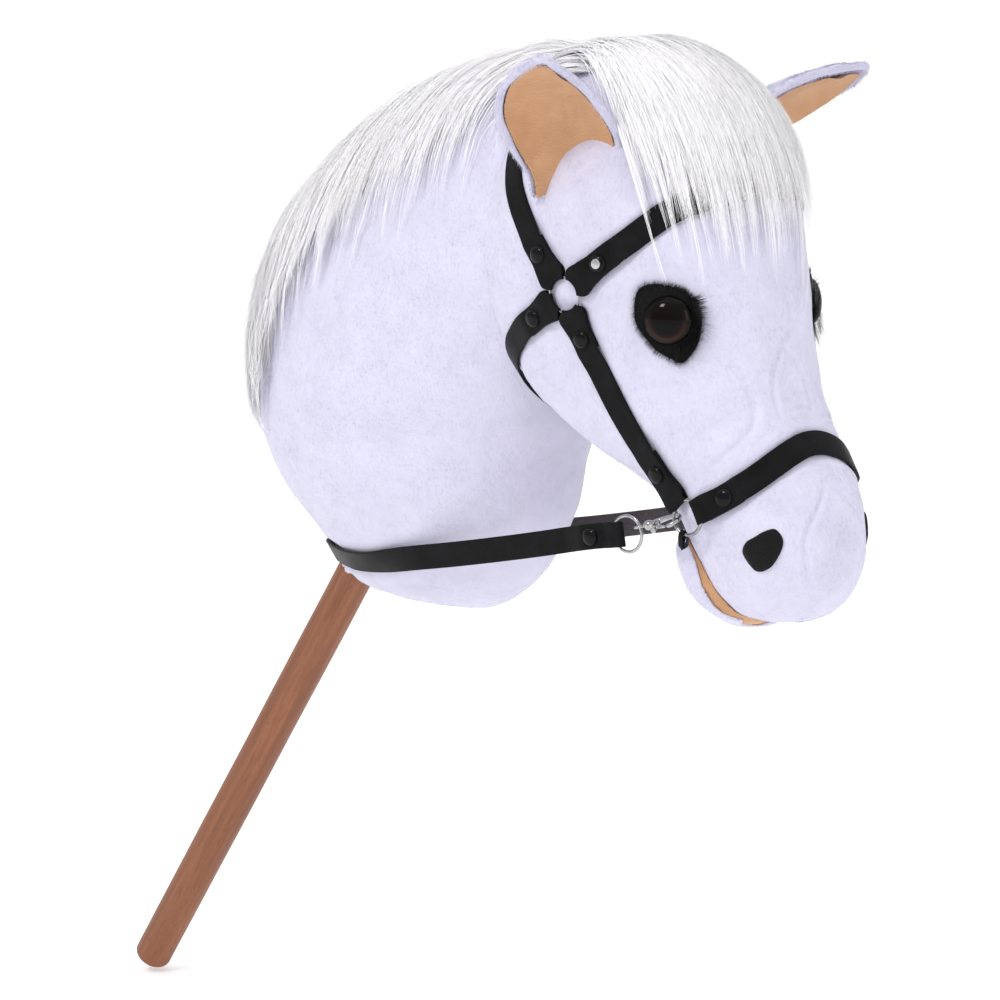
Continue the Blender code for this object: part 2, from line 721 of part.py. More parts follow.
def build_bodies(d):
    """Plush skins as open shells, and the stuffing inside them."""
    bore = guide("bore_cutter", *lathe([(0, 0.2), (STICK_R + 0.0004, 0.2), (STICK_R + 0.0004, STICK_LENGTH + 0.0008), (0, STICK_LENGTH + 0.0008)], np.zeros(3), d, 24))
    head_outer = guide("head_outer", *loft(HEAD, 25, 26))
    neck_outer = guide("neck_outer", *loft(NECK, 23, 24))
    head_grown = guide("head_grown", *loft(HEAD, 25, 26, -0.0005))
    trees = {"head": tree_of(head_outer), "neck": tree_of(neck_outer)}
    inner = guide("inner_head", *loft(HEAD, 17, 18, SKIN_T))
    inner_neck = guide("inner_neck", *loft(NECK, 18, 18, SKIN_T))
    boolean(inner, "UNION", inner_neck)
    settle(inner)
    fill = guide("fill_neck", *loft(NECK, 18, 18, SKIN_T + 0.0011))
    stuffing = add("stuffing", *loft(HEAD, 17, 18, SKIN_T + 0.0011), "stuffing")
    boolean(stuffing, "UNION", fill)
    boolean(stuffing, "DIFFERENCE", bore)
    settle(stuffing)
    head = add("head_skin", *loft(HEAD, 25, 26), "plush")
    boolean(head, "DIFFERENCE", inner)
    settle(head)
    neck = add("neck_skin", *loft(NECK, 23, 24), "plush")
    boolean(neck, "DIFFERENCE", head_grown, inner, bore)
    settle(neck)
    return head, neck, stuffing, trees


def build_mouth(trees):
    wide = guide("head_lining_space", *loft(HEAD, 25, 26, -0.0072))
    near = guide("head_lining_clear", *loft(HEAD, 25, 26, -0.0006))
    lip_space = guide("head_lip_space", *loft(HEAD, 25, 26, -0.0076))
    jaw = add("lower_lip", *loft(LOWER_LIP, 13, 18), "plush")
    boolean(jaw, "DIFFERENCE", lip_space)
    settle(jaw)
    lining = add("mouth_lining", *loft(LOWER_LIP, 13, 18, 0.0022), "tan")
    boolean(lining, "INTERSECT", wide)
    boolean(lining, "DIFFERENCE", near)
    settle(lining)
    return jaw, lining


def build_ears():
    grown = guide("head_ear_clear", *loft(HEAD, 25, 26, -0.0007))
    # at, sideways axis, ear direction
    sets = {
        "right": ((0.494, -0.0790, 0.606), (0.7071, 0.7071, 0.0), (0.30, -0.30, 0.905)),
        "left": ((0.500, 0.0770, 0.6225), (0.60, -0.60, 0.50), (0.42, 0.72, 0.63)),
    }
    for name, (at, across, up) in sets.items():
        at, up = np.array(at), unit(up)
        across = np.array(across)
        across = unit(across - up * (across @ up))
        if name == "right":
            out = unit(np.cross(across, up))
        else:
            out = unit(np.cross(up, across))
        if out[0] < 0:
            out = -out
        cup = 0.017 if name == "right" else 0.011
        outer = add(f"{name}_ear", *ear(at, across, up, out, -0.0048, -0.0004, 0.0, -0.2, 1.0, cup), "plush")
        inner = add(f"{name}_ear_lining", *ear(at, across, up, out, 0.0002, 0.0016, 0.0056, -0.2, 0.905, cup), "tan")
        for obj in (outer, inner):
            boolean(obj, "DIFFERENCE", grown)
            settle(obj)


def build_face(trees, head, stuffing):
    """Eyes with their patches, lashes and lock washers, and the nostrils."""
    tree = trees["head"]
    skin_cut, fill_cut = [], []
    for side, name in ((-1, "right"), (1, "left")):
        at = np.array([0.563, 0.066 * side, 0.5215])
        p, n, across, up = skin_frame(tree, at, side)
        patch = skin_patch(tree, at, side, EYE_PATCH, 0.0005, 0.0017, hole=0.0034, rings=3, count=22)
        add(f"{name}_eye_patch", *patch, "fur")
        base = 0.0028
        dome = [
            (0, base + 0.0095), (EYE_R * 0.35, base + 0.0089), (EYE_R * 0.66, base + 0.0070),
            (EYE_R * 0.88, base + 0.0042), (EYE_R, base + 0.0010), (EYE_R, base),
            (EYE_STEM_R, base), (EYE_STEM_R, -0.0140), (0, -0.0140),
        ]
        add(f"{name}_eye", *lathe(dome, p, n, 20), "eye")
        inside = -SKIN_T - 0.0024
        washer = [(EYE_STEM_R + GAP, inside), (WASHER_R, inside), (WASHER_R, inside - 0.0016), (EYE_STEM_R + GAP, inside - 0.0016)]
        v, f = lathe(washer, p, n, 16)
        f += [(k, (k + 1) % 16, 48 + (k + 1) % 16, 48 + k) for k in range(16)]
        add(f"{name}_eye_washer", v, f, "washer")
        skin_cut.append(guide(f"{name}_stem_hole", *lathe([(0, -0.02), (EYE_STEM_R + 0.0004, -0.02), (EYE_STEM_R + 0.0004, 0.01), (0, 0.01)], p, n, 12)))
        fill_cut.append(guide(f"{name}_washer_pocket", *lathe([(0, -0.0150), (WASHER_R + 0.0005, -0.0150), (WASHER_R + 0.0005, 0.012), (0, 0.012)], p, n, 16)))
        # lashes: a thin fan beyond the dome on its front and lower side
        verts, faces = [], []
        steps = 14
        for k in range(steps + 1):
            a = math.radians(62 - 140 * k / steps)
            for r, h in ((EYE_R + 0.0012, 0.0024), (EYE_R + 0.0062, 0.0040), (EYE_R + 0.0062, 0.0046), (EYE_R + 0.0012, 0.0032)):
                q, m = snap(tree, p + (across * math.cos(a) + up * math.sin(a)) * r)
                verts.append(q + m * h)
        for k in range(steps):
            for j in range(4):
                faces.append((4 * k + j, 4 * k + (j + 1) % 4, 4 * k + 4 + (j + 1) % 4, 4 * k + 4 + j))
        faces.append((3, 2, 1, 0))
        faces.append(tuple(4 * steps + j for j in range(4)))
        add(f"{name}_eyelashes", verts, faces, "fur")
        spot = np.array([0.624, 0.047 * side, 0.386])
        add(f"{name}_nostril", *skin_patch(tree, spot, side, NOSTRIL, 0.0006, 0.0020, rings=3, count=16), "felt")
    boolean(head, "DIFFERENCE", *skin_cut)
    settle(head)
    boolean(stuffing, "DIFFERENCE", *fill_cut)
    settle(stuffing)


def build_hair():
    def crest(f):
        spread = math.radians(72 - 8 * f)
        return math.pi - spread, math.pi + spread

    def brow(f):
        spread = math.radians(34 + 27 * f + 62 * max(f - 0.6, 0) / 0.4)
        return -spread, spread

    add("neck_mane", *hair_slab(NECK, (0.30, 0.92), crest, 0.0024, 0.0150, 18, 12), "hair")
    add("forelock", *hair_slab(HEAD, (0.66, 0.985), brow, 0.0058, 0.0150, 9, 10), "hair")


def in_plane(normal, angle):
    """Direction in a ring's plane, from forward toward up."""
    ahead = unit(np.array([1.0, 0, 0]) - normal * normal[0])
    up = np.cross(normal, ahead)
    up = up if up[2] > 0 else -up
    return ahead * math.cos(angle) + up * math.sin(angle)


def build_bridle(trees):
    head = trees["head"]
    both = [trees["head"], trees["neck"]]
    p, n = snap(head, TEMPLE_AT)
    temple = Ring(p + n * (LIFT + STRAP_T / 2 + TEMPLE_WIRE + 0.0006 + STRAP_T / 2), n, TEMPLE_RING_R, TEMPLE_WIRE)
    line = unit(HOOK_LINE)
    facing = np.array([0.0, -1.0, 0.0])
    facing = unit(facing - line * (facing @ line))
    bit = Ring(BIT_RING_AT, facing, BIT_RING_R, BIT_WIRE)
    eye_at = bit.at + in_plane(facing, BIT_HOLD) * BIT_RING_R - line * HOOK_LENGTH
    split = Ring(eye_at - in_plane(facing, SPLIT_HOLD) * SPLIT_RING_R, facing, SPLIT_RING_R, SPLIT_WIRE)
    for ring, name, look in ((temple, "temple_ring", "ring"), (bit, "bit_ring", "ring")):
        for r, side in ((ring, "right"), (ring.mirrored(), "left")):
            add(f"{side}_{name}", *torus(r.at, r.normal, r.radius, r.wire), look)
    for r, side in ((split, "right"), (split.mirrored(), "left")):
        add(f"{side}_split_ring", *torus(r.at, r.normal, r.radius, r.wire), "nickel")

    def surface(points, tree):
        got = [snap(tree, q) for q in points]
        return [g[0] for g in got], [g[1] for g in got]

    def foot(ring):
        q, m = snap(head, ring.at)
        return q, m

    def over(points, ring, tree=head, middle=True):
        """A run from the right ring over the middle to the left ring."""
        a, m = surface(points, tree)
        f, g = foot(ring)
        half_p, half_n = [f] + a, [g] + m
        rest_p = [flip(q) for q in half_p[:-1]][::-1]
        rest_n = [flip(q) for q in half_n[:-1]][::-1]
        last = half_n[-1]
        last = unit([last[0], 0, last[2]])
        return Path(half_p + rest_p, half_n[:-1] + [last] + rest_n)

    def hung(points, normals, ring):
        """A run that hangs free between the right ring and the left."""
        a = [ring.at - ring.normal * (ring.loop + LIFT + STRAP_T / 2)] + [np.array(q) for q in points]
        m = [ring.normal] + [unit(q) for q in normals]
        return Path(a + [flip(q) for q in a[:-1]][::-1], m + [flip(q) for q in m[:-1]][::-1])

    runs = {
        "crown_strap": (
            over([(0.479, -0.084, 0.553), (0.467, -0.083, 0.567), (0.456, -0.080, 0.582), (0.446, -0.074, 0.601), (0.440, -0.064, 0.625), (0.437, -0.042, 0.652), (0.436, 0.0, 0.670)], temple),
            temple, temple.mirrored(), 0.028, 0.028),
        "browband": (
            over([(0.519, -0.080, 0.553), (0.534, -0.075, 0.565), (0.546, -0.068, 0.576), (0.556, -0.060, 0.585), (0.565, -0.045, 0.592), (0.572, -0.024, 0.596), (0.575, 0.0, 0.598)], temple),
            temple, temple.mirrored(), 0.032, 0.032),
        "throatlatch": (
            over([(0.471, -0.081, 0.517), (0.458, -0.077, 0.507), (0.447, -0.071, 0.494), (0.442, -0.061, 0.478), (0.444, -0.045, 0.462), (0.449, -0.024, 0.449), (0.452, 0.0, 0.442)], temple),
            temple, temple.mirrored(), 0.028, 0.028),
        "noseband": (
            over([(0.599, -0.056, 0.4145), (0.613, -0.047, 0.426), (0.620, -0.033, 0.436), (0.622, -0.016, 0.443), (0.622, 0.0, 0.446)], bit),
            bit, bit.mirrored(), 0.026, 0.026),
        "chin_strap": (
            hung([(0.5730, -0.0603, 0.3875), (0.5655, -0.0563, 0.3858), (0.5560, -0.0480, 0.3876), (0.5470, -0.0350, 0.3905), (0.5395, -0.0180, 0.3930), (0.5365, 0.0, 0.3940)],
                 [(-0.10, -0.99, -0.05), (-0.30, -0.94, -0.10), (-0.55, -0.80, -0.20), (-0.72, -0.60, -0.32), (-0.85, -0.30, -0.42), (-0.90, 0.0, -0.44)], bit),
            bit, bit.mirrored(), 0.013, 0.013),
    }
    cheek_p, cheek_n = surface([(0.507, -0.080, 0.508), (0.516, -0.077, 0.489), (0.526, -0.072, 0.469), (0.536, -0.067, 0.450), (0.547, -0.063, 0.436), (0.559, -0.058, 0.420)], head)
    a, b = foot(temple), foot(bit)
    cheek_p, cheek_n = [a[0]] + cheek_p + [b[0]], [a[1]] + cheek_n + [b[1]]
    runs["right_cheekpiece"] = (Path(cheek_p, cheek_n), temple, bit, 0.026, 0.036)
    runs["left_cheekpiece"] = (Path([flip(q) for q in cheek_p], [flip(q) for q in cheek_n]), temple.mirrored(), bit.mirrored(), 0.026, 0.036)

    # The rein: over both flanks and round the neck above the stick.
    neck = trees["neck"]
    lain = [(0.300, -0.0640, 0.3360), (0.275, -0.0550, 0.3325), (0.250, -0.0430, 0.3300), (0.228, -0.0290, 0.3285), (0.212, -0.0150, 0.3280), (0.2045, 0.0, 0.3280)]
    free = [split.at, (0.500, -0.0665, 0.3810), (0.460, -0.0680, 0.3715), (0.420, -0.0690, 0.3625), (0.380, -0.0695, 0.3540), (0.340, -0.0690, 0.3460)]
    rein_p, rein_n = [], []
    for q in free:
        rein_p.append(np.array(q) - facing * (LIFT + STRAP_T / 2) * (0 if q is split.at else 1))
        rein_n.append(facing)
    rein_p[0] = split.at - facing * (split.loop + LIFT + STRAP_T / 2)
    for q in lain:
        c, m = snap(neck, q)
        rein_p.append(c)
        rein_n.append(m)
    rein_n[-1] = unit([rein_n[-1][0], 0, rein_n[-1][2]])
    rein_p += [flip(q) for q in rein_p[:-1]][::-1]
    rein_n += [flip(q) for q in rein_n[:-1]][::-1]
    runs["rein"] = (Path(rein_p, rein_n), split, split.mirrored(), 0.026, 0.026)

    stud_names = {
        "crown_strap": ("right_crown_stud", "left_crown_stud"),
        "browband": ("right_brow_stud", "left_brow_stud"),
        "throatlatch": ("right_throat_stud", "left_throat_stud"),
        "noseband": ("right_nose_stud", "left_nose_stud"),
        "chin_strap": (),  # sewn
        "right_cheekpiece": ("right_upper_cheek_stud", "right_lower_cheek_stud"),
        "left_cheekpiece": ("left_upper_cheek_stud", "left_lower_cheek_stud"),
        "rein": ("right_rein_stud", "left_rein_stud"),
    }
    for name, (path, first, last, fa, fb) in runs.items():
        narrow = name == "chin_strap"
        width = CHIN_W if narrow else STRAP_W
        thick = CHIN_T if narrow else STRAP_T
        pts, nrm, wid, bends, pairs = strap(
            path, first, last, fa, fb, width, (TEMPLE_END_W, min(width, CHEEK_END_W if "cheek" in name else BIT_END_W)),
            0.015 if name == "rein" else 0.013, thick)
        pts = clear_of(both, pts, nrm, wid, pairs)
        studs = [((pts[j] + pts[k]) / 2, -unit(nrm[j] + nrm[k])) for j, k in ((1, 2), (-2, -3))]
        obj = add(name, *ribbon(pts, nrm, wid, bends, thick), "leather", smooth=False)
        holes = []
        for label, (at, normal) in zip(stud_names[name], studs):
            stud(label, at, normal)
            holes.append(stud_hole(label + "_hole", at, normal))
        boolean(obj, "DIFFERENCE", *holes)
        settle(obj)
    return split, bit, line, facing


def build_hook(side, split, bit, line, facing):
    """Swivel snap hook between the split ring and the bit ring."""
    mirror = flip if side == "left" else (lambda v: np.array(v, float))
    at = mirror(split.at + in_plane(facing, SPLIT_HOLD) * split.radius)
    ex = mirror(line)
    face = mirror(facing)
    wire = unit(np.cross(ex, face))
    if wire[2] < 0:
        wire = -wire
    # the claw's plane is rolled out of the ring's plane
    ey = unit(wire * math.cos(HOOK_ROLL) - face * math.sin(HOOK_ROLL))
    ez = unit(np.cross(ex, ey))
    arc = [np.array([CLAW_AT + CLAW_R * math.cos(a), CLAW_R * math.sin(a)]) for a in np.radians([112, 82, 52, 22, -8, -38, -68, -92])]
    bar = [(0.0100, 0.0010), (0.0145, 0.0030), (0.0195, 0.0045)] + [tuple(q) for q in arc]
    widths = [0.0040, 0.0034, 0.0029] + [0.0026] * 7 + [0.0022]
    hook = add(f"{side}_snap_hook", *plate(thick_line(bar, widths), -0.0015, 0.0015, at, ex, ey, ez), "nickel", angle=30)
    barrel = guide(f"{side}_barrel", *lathe([(0, 0.0052), (0.0026, 0.0052), (0.0031, 0.0058), (0.0031, 0.0096), (0.0024, 0.0102), (0, 0.0102)], at, ex, 12))
    block = guide(f"{side}_block", *plate([(0.0093, -0.0040), (0.0155, -0.0040), (0.0165, 0.0000), (0.0155, 0.0028), (0.0093, 0.0030)], -0.0026, 0.0026, at, ex, ey, ez))
    boolean(hook, "UNION", block, barrel)
    settle(hook)
    hollow = guide(f"{side}_hollow", *lathe([(0, 0.0045), (0.00135, 0.0045), (0.00135, 0.0064), (0.0022, 0.0064), (0.0022, 0.0088), (0, 0.0088)], at, ex, 12))
    slot = guide(f"{side}_slot", *plate([(0.0110, -0.0064), (0.0195, -0.0064), (0.0195, 0.0000), (0.0160, 0.0005), (0.0110, 0.0005)], -0.0016, 0.0016, at, ex, ey, ez))
    pin_at = at + ex * GATE_PIN[0] + ey * GATE_PIN[1]
    pin_hole = guide(f"{side}_pin_hole", *lathe([(0, -0.004), (GATE_PIN_R + GAP, -0.004), (GATE_PIN_R + GAP, 0.004), (0, 0.004)], pin_at, ez, 10))
    boolean(hook, "DIFFERENCE", hollow, slot, pin_hole)
    settle(hook)
    lever = [(0.0120, -0.0018), (0.0150, -0.0032), (0.0185, -0.0046), (0.0215, -0.0053), (0.0246, -0.0056)]
    gate = add(f"{side}_gate", *plate(thick_line(lever, [0.0030, 0.0026, 0.0022, 0.0020, 0.0018]), -0.0012, 0.0012, at, ex, ey, ez), "nickel", angle=30)
    tab = guide(f"{side}_tab", *plate([(0.0150, -0.0036), (0.0180, -0.0046), (0.0176, -0.0084), (0.0160, -0.0092), (0.0151, -0.0078)], -0.0010, 0.0010, at, ex, ey, ez))
    boolean(gate, "UNION", tab)
    boolean(gate, "DIFFERENCE", pin_hole)
    settle(gate)
    add(f"{side}_gate_pin", *lathe([(0, -0.0026), (GATE_PIN_R, -0.0026), (GATE_PIN_R, 0.0026), (0, 0.0026)], pin_at, ez, 10), "nickel")
    # swivel eye: a small ring on a headed post
    eye = add(f"{side}_swivel_eye", *torus(at, wire, 0.0030, 0.0009, 14, 6), "nickel")
    post = guide(f"{side}_post", *lathe([(0, 0.0032), (0.0010, 0.0032), (0.0010, 0.0068), (0.0018, 0.0068), (0.0018, 0.0084), (0, 0.0084)], at, ex, 10))
    boolean(eye, "UNION", post)
    settle(eye)


def build():
    clear_scene()
    _, d = build_stick()
    head, neck, stuffing, trees = build_bodies(d)
    build_face(trees, head, stuffing)
    build_mouth(trees)
    build_ears()
    build_hair()
    split, bit, line, facing = build_bridle(trees)
    for side in ("right", "left"):
        build_hook(side, split, bit, line, facing)


build()
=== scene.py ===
"""Looks of a stuffed plush hobby horse: its pile, long fur, bridle leather, metal
fittings and wooden stick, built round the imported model.  Metres, +X to the
nose, +Y the horse's left, +Z up."""
import math

import bmesh
import bpy
import numpy as np
from mathutils import Matrix, Vector
from mathutils.bvhtree import BVHTree


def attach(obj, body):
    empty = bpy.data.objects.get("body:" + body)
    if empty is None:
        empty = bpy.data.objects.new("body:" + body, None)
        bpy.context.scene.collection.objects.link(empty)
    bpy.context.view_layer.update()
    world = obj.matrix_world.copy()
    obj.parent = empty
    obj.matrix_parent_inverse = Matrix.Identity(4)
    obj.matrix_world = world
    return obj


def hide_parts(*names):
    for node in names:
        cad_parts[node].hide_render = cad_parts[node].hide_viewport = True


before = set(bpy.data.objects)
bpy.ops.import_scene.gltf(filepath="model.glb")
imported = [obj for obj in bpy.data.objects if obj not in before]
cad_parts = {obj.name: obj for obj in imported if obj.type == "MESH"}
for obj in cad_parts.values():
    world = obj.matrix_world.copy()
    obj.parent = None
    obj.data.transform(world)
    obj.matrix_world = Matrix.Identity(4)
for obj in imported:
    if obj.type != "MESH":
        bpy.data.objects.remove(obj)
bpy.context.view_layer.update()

SCENE = bpy.context.scene

# ---------------------------------------------------------------------------
# Camera: the photograph's view, 1000 x 1000
# ---------------------------------------------------------------------------
AZIMUTH, ELEVATION = math.radians(45), math.radians(10)
FOCAL = 4615.4  # in pixels of a 1000 pixel wide picture
EYE_POINT = np.array([2.4440, -2.0901, 0.8985])
RIGHT = np.array([math.cos(AZIMUTH), math.sin(AZIMUTH), 0.0])
BACK = np.array([math.sin(AZIMUTH) * math.cos(ELEVATION), -math.cos(AZIMUTH) * math.cos(ELEVATION), math.sin(ELEVATION)])
UPWARD = np.cross(BACK, RIGHT)


def make_camera():
    data = bpy.data.cameras.new("camera")
    data.sensor_width = 36.0
    data.lens = 36.0 * FOCAL / 1000
    data.clip_start, data.clip_end = 0.1, 200.0
    cam = bpy.data.objects.new("camera", data)
    SCENE.collection.objects.link(cam)
    m = Matrix.Identity(4)
    for k, axis in enumerate((RIGHT, UPWARD, BACK)):
        for j in range(3):
            m[j][k] = axis[j]
    m.translation = Vector(EYE_POINT)
    cam.matrix_world = m
    SCENE.camera = cam


make_camera()

# ---------------------------------------------------------------------------
# Dimensions, as the model's
# ---------------------------------------------------------------------------
STICK_LEAN = math.radians(34.9)
STICK_R = 0.013
STICK_LENGTH = 0.690
SKIN_T = 0.0030
STRAP_T = 0.0018
STRAP_W = 0.016
BIT_END_W = 0.0157
FOLD_T = 0.0009
LIFT = 0.0014
FOLD_GAP = 0.00035
TEMPLE_RING_R, TEMPLE_WIRE = 0.0113, 0.0007
BIT_RING_R, BIT_WIRE = 0.0108, 0.00115
SPLIT_RING_R, SPLIT_WIRE = 0.0112, 0.0011
STUD_R = 0.0052
CHIN_W, CHIN_T = 0.0032, 0.0010
EYE_R = 0.015
EYE_STEM_R = 0.0025
HOOK_LENGTH = 0.0280
HOOK_ROLL = math.radians(62)
CLAW_AT, CLAW_R = 0.0261, 0.0056
SPLIT_HOLD, BIT_HOLD = math.radians(30), math.radians(196)
GATE_PIN = (0.0130, -0.0018)
BIT_RING_AT = np.array([0.5770, -0.0625, 0.4022])
HOOK_LINE = np.array([0.954, 0.055, 0.260])
TEMPLE_AT = np.array([0.496, -0.085, 0.533])
EAR_LENGTH = 0.0855

HEAD = [
    (0.585, 0.335, 0.612, 0.334, 0.014, 0.50, 2.0, 2.0),
    (0.568, 0.341, 0.631, 0.340, 0.031, 0.50, 2.1, 2.2),
    (0.556, 0.355, 0.642, 0.355, 0.043, 0.50, 2.2, 2.3),
    (0.549, 0.372, 0.647, 0.375, 0.050, 0.50, 2.2, 2.3),
    (0.541, 0.388, 0.645, 0.396, 0.054, 0.48, 2.2, 2.3),
    (0.531, 0.402, 0.638, 0.417, 0.057, 0.46, 2.2, 2.3),
    (0.505, 0.416, 0.622, 0.441, 0.060, 0.44, 2.2, 2.4),
    (0.463, 0.434, 0.606, 0.473, 0.068, 0.41, 2.3, 2.4),
    (0.424, 0.462, 0.597, 0.508, 0.077, 0.38, 2.3, 2.4),
    (0.396, 0.499, 0.591, 0.544, 0.083, 0.37, 2.3, 2.4),
    (0.382, 0.542, 0.582, 0.582, 0.085, 0.40, 2.3, 2.4),
    (0.385, 0.587, 0.567, 0.616, 0.081, 0.44, 2.2, 2.4),
    (0.400, 0.626, 0.549, 0.646, 0.069, 0.48, 2.1, 2.2),
    (0.420, 0.655, 0.524, 0.666, 0.048, 0.50, 2.0, 2.0),
    (0.450, 0.674, 0.495, 0.677, 0.018, 0.50, 2.0, 2.0),
]
NECK = [
    (0.225, 0.3085, 0.340, 0.3030, 0.022, 0.55, 1.5, 2.0),
    (0.206, 0.3160, 0.360, 0.3110, 0.040, 0.56, 1.35, 2.0),
    (0.202, 0.3300, 0.377, 0.3260, 0.053, 0.55, 1.35, 2.1),
    (0.190, 0.3480, 0.390, 0.3460, 0.064, 0.54, 1.6, 2.1),
    (0.166, 0.3760, 0.401, 0.3740, 0.076, 0.53, 1.8, 2.1),
    (0.150, 0.4120, 0.409, 0.4080, 0.083, 0.52, 1.9, 2.1),
    (0.149, 0.4600, 0.424, 0.4420, 0.085, 0.52, 1.9, 2.1),
    (0.157, 0.5080, 0.444, 0.4700, 0.084, 0.52, 1.9, 2.1),
    (0.177, 0.5490, 0.466, 0.5000, 0.081, 0.52, 1.9, 2.1),
    (0.213, 0.5860, 0.486, 0.5300, 0.077, 0.52, 1.9, 2.1),
    (0.252, 0.6160, 0.502, 0.5600, 0.071, 0.50, 1.9, 2.1),
    (0.300, 0.6420, 0.512, 0.5900, 0.063, 0.50, 1.9, 2.1),
    (0.350, 0.6600, 0.514, 0.6150, 0.053, 0.50, 1.9, 2.1),
    (0.398, 0.6680, 0.508, 0.6350, 0.036, 0.50, 2.0, 2.0),
    (0.438, 0.6640, 0.490, 0.6500, 0.014, 0.50, 2.0, 2.0),
]
LOWER_LIP = [
    (0.5470, 0.3880, 0.565, 0.3900, 0.025, 0.5, 2.0, 2.0),
    (0.5325, 0.3800, 0.586, 0.3870, 0.0405, 0.5, 2.0, 2.0),
    (0.5335, 0.3645, 0.594, 0.3805, 0.0460, 0.5, 2.0, 2.0),
    (0.5425, 0.3475, 0.600, 0.3700, 0.0460, 0.5, 2.0, 2.0),
    (0.5550, 0.3345, 0.606, 0.3620, 0.041, 0.5, 2.0, 2.0),
    (0.5710, 0.3265, 0.612, 0.3570, 0.032, 0.5, 2.0, 2.0),
    (0.5880, 0.3275, 0.615, 0.3500, 0.015, 0.5, 2.0, 2.0),
]
EYE_PATCH = [
    (20.3, -1.3), (18.4, 5.7), (14.6, 12.7), (8.3, 18.4), (1.3, 20.3), (-7.6, 21.6),
    (-17.0, 19.7), (-21.6, 13.3), (-22.2, 0.0), (-19.0, -7.0), (-12.7, -14.0),
    (-6.4, -19.7), (1.3, -23.5), (8.3, -26.0), (14.5, -20.0), (18.6, -12.0),
]
NOSTRIL = [
    (12.6, 6.3), (7.6, 13.2), (0.6, 11.3), (-5.0, 7.8), (-10.7, 3.8), (-13.2, -2.5),
    (-8.8, -10.0), (-2.5, -13.9), (5.0, -10.5), (10.5, -2.5),
]
EAR_EDGES = [
    (-0.20, -24.0, 24.0), (0.0, -27.0, 25.0), (0.25, -37.0, 29.0), (0.50, -44.0, 21.0),
    (0.75, -41.0, 6.0), (0.92, -30.0, -9.0), (1.0, -20.5, -15.0),
]


# ---------------------------------------------------------------------------
# Small tools
# ---------------------------------------------------------------------------
def unit(v):
    v = np.asarray(v, float)
    return v / np.linalg.norm(v)


def units(v):
    return v / np.maximum(np.linalg.norm(v, axis=-1, keepdims=True), 1e-12)


def smoothstep(a, b, x):
    t = np.clip((np.asarray(x, float) - a) / (b - a), 0.0, 1.0)
    return t * t * (3 - 2 * t)


def flip(v):
    return np.array([v[0], -v[1], v[2]])


def catmull(rows, n):
    rows = np.array(rows, float)
    pad = np.vstack([2 * rows[0] - rows[1], rows, 2 * rows[-1] - rows[-2]])
    out = []
    for s in np.linspace(0, len(rows) - 1, n):
        i = min(int(s), len(rows) - 2)
        t = s - i
        p0, p1, p2, p3 = pad[i], pad[i + 1], pad[i + 2], pad[i + 3]
        out.append(0.5 * (2 * p1 + (p2 - p0) * t + (2 * p0 - 5 * p1 + 4 * p2 - p3) * t * t + (3 * p1 - p0 - 3 * p2 + p3) * t**3))
    return np.array(out)


def along(points, n):
    """n points at even distances along a smooth curve."""
    fine = catmull(points, (len(points) - 1) * 16 + 1)
    s = np.concatenate([[0], np.cumsum(np.linalg.norm(np.diff(fine, axis=0), axis=1))])
    pick = np.linspace(0, s[-1], n)
    return np.stack([np.interp(pick, s, fine[:, k]) for k in range(fine.shape[1])], 1)


def section_point(row, angle, inset):
    rx, rz, fx, fz, w, mid, nr, nf = row
    rear, front = np.array([rx, 0, rz]), np.array([fx, 0, fz])
    axis = front - rear
    length = np.linalg.norm(axis)
    axis = axis / length
    length = max(length - 2 * inset, 0.002)
    w = max(w - inset, 0.001)
    rear = (rear + front) / 2 - axis * length / 2
    c, s = math.cos(angle), math.sin(angle)
    n = nf if c >= 0 else nr
    half = length * (1 - mid) if c >= 0 else length * mid
    u = math.copysign(abs(c) ** (2 / n), c) * half
    v = math.copysign(abs(s) ** (2 / n), s) * w
    return rear + axis * (length * mid + u) + np.array([0, v, 0])


def loft(rows, rings, around, inset=0.0):
    rows = catmull(rows, rings)
    if inset:
        middle = rows[:, 0:2] / 2 + rows[:, 2:4] / 2
        for j, k in ((0, 2), (-1, -3)):
            step = unit(middle[k] - middle[j]) * inset
            rows[j, :4] += np.tile(step, 2)
    verts, faces = [], []
    for row in rows:
        verts += [section_point(row, 2 * math.pi * k / around, inset) for k in range(around)]
    n = len(rows)
    for i in range(n - 1):
        for k in range(around):
            a, b = i * around + k, i * around + (k + 1) % around
            faces.append((a, b, b + around, a + around))
    verts.append(np.mean(verts[:around], axis=0))
    verts.append(np.mean(verts[(n - 1) * around : n * around], axis=0))
    for k in range(around):
        faces.append((len(verts) - 2, (k + 1) % around, k))
        faces.append((len(verts) - 1, (n - 1) * around + k, (n - 1) * around + (k + 1) % around))
    return verts, faces


def lathe(profile, at, axis, segments):
    axis = unit(axis)
    u = unit(np.cross(axis, [0.3, 0.2, 0.93]))
    v = np.cross(axis, u)
    verts, faces, rings = [], [], []
    for r, h in profile:
        if r < 1e-7:
            rings.append([len(verts)])
            verts.append(at + axis * h)
        else:
            rings.append(list(range(len(verts), len(verts) + segments)))
            for k in range(segments):
                a = 2 * math.pi * k / segments
                verts.append(at + axis * h + (u * math.cos(a) + v * math.sin(a)) * r)
    for low, high in zip(rings, rings[1:]):
        for k in range(segments):
            j = (k + 1) % segments
            if len(low) == 1:
                faces.append((low[0], high[k], high[j]))
            elif len(high) == 1:
                faces.append((low[k], low[j], high[0]))
            else:
                faces.append((low[k], low[j], high[j], high[k]))
    return verts, faces


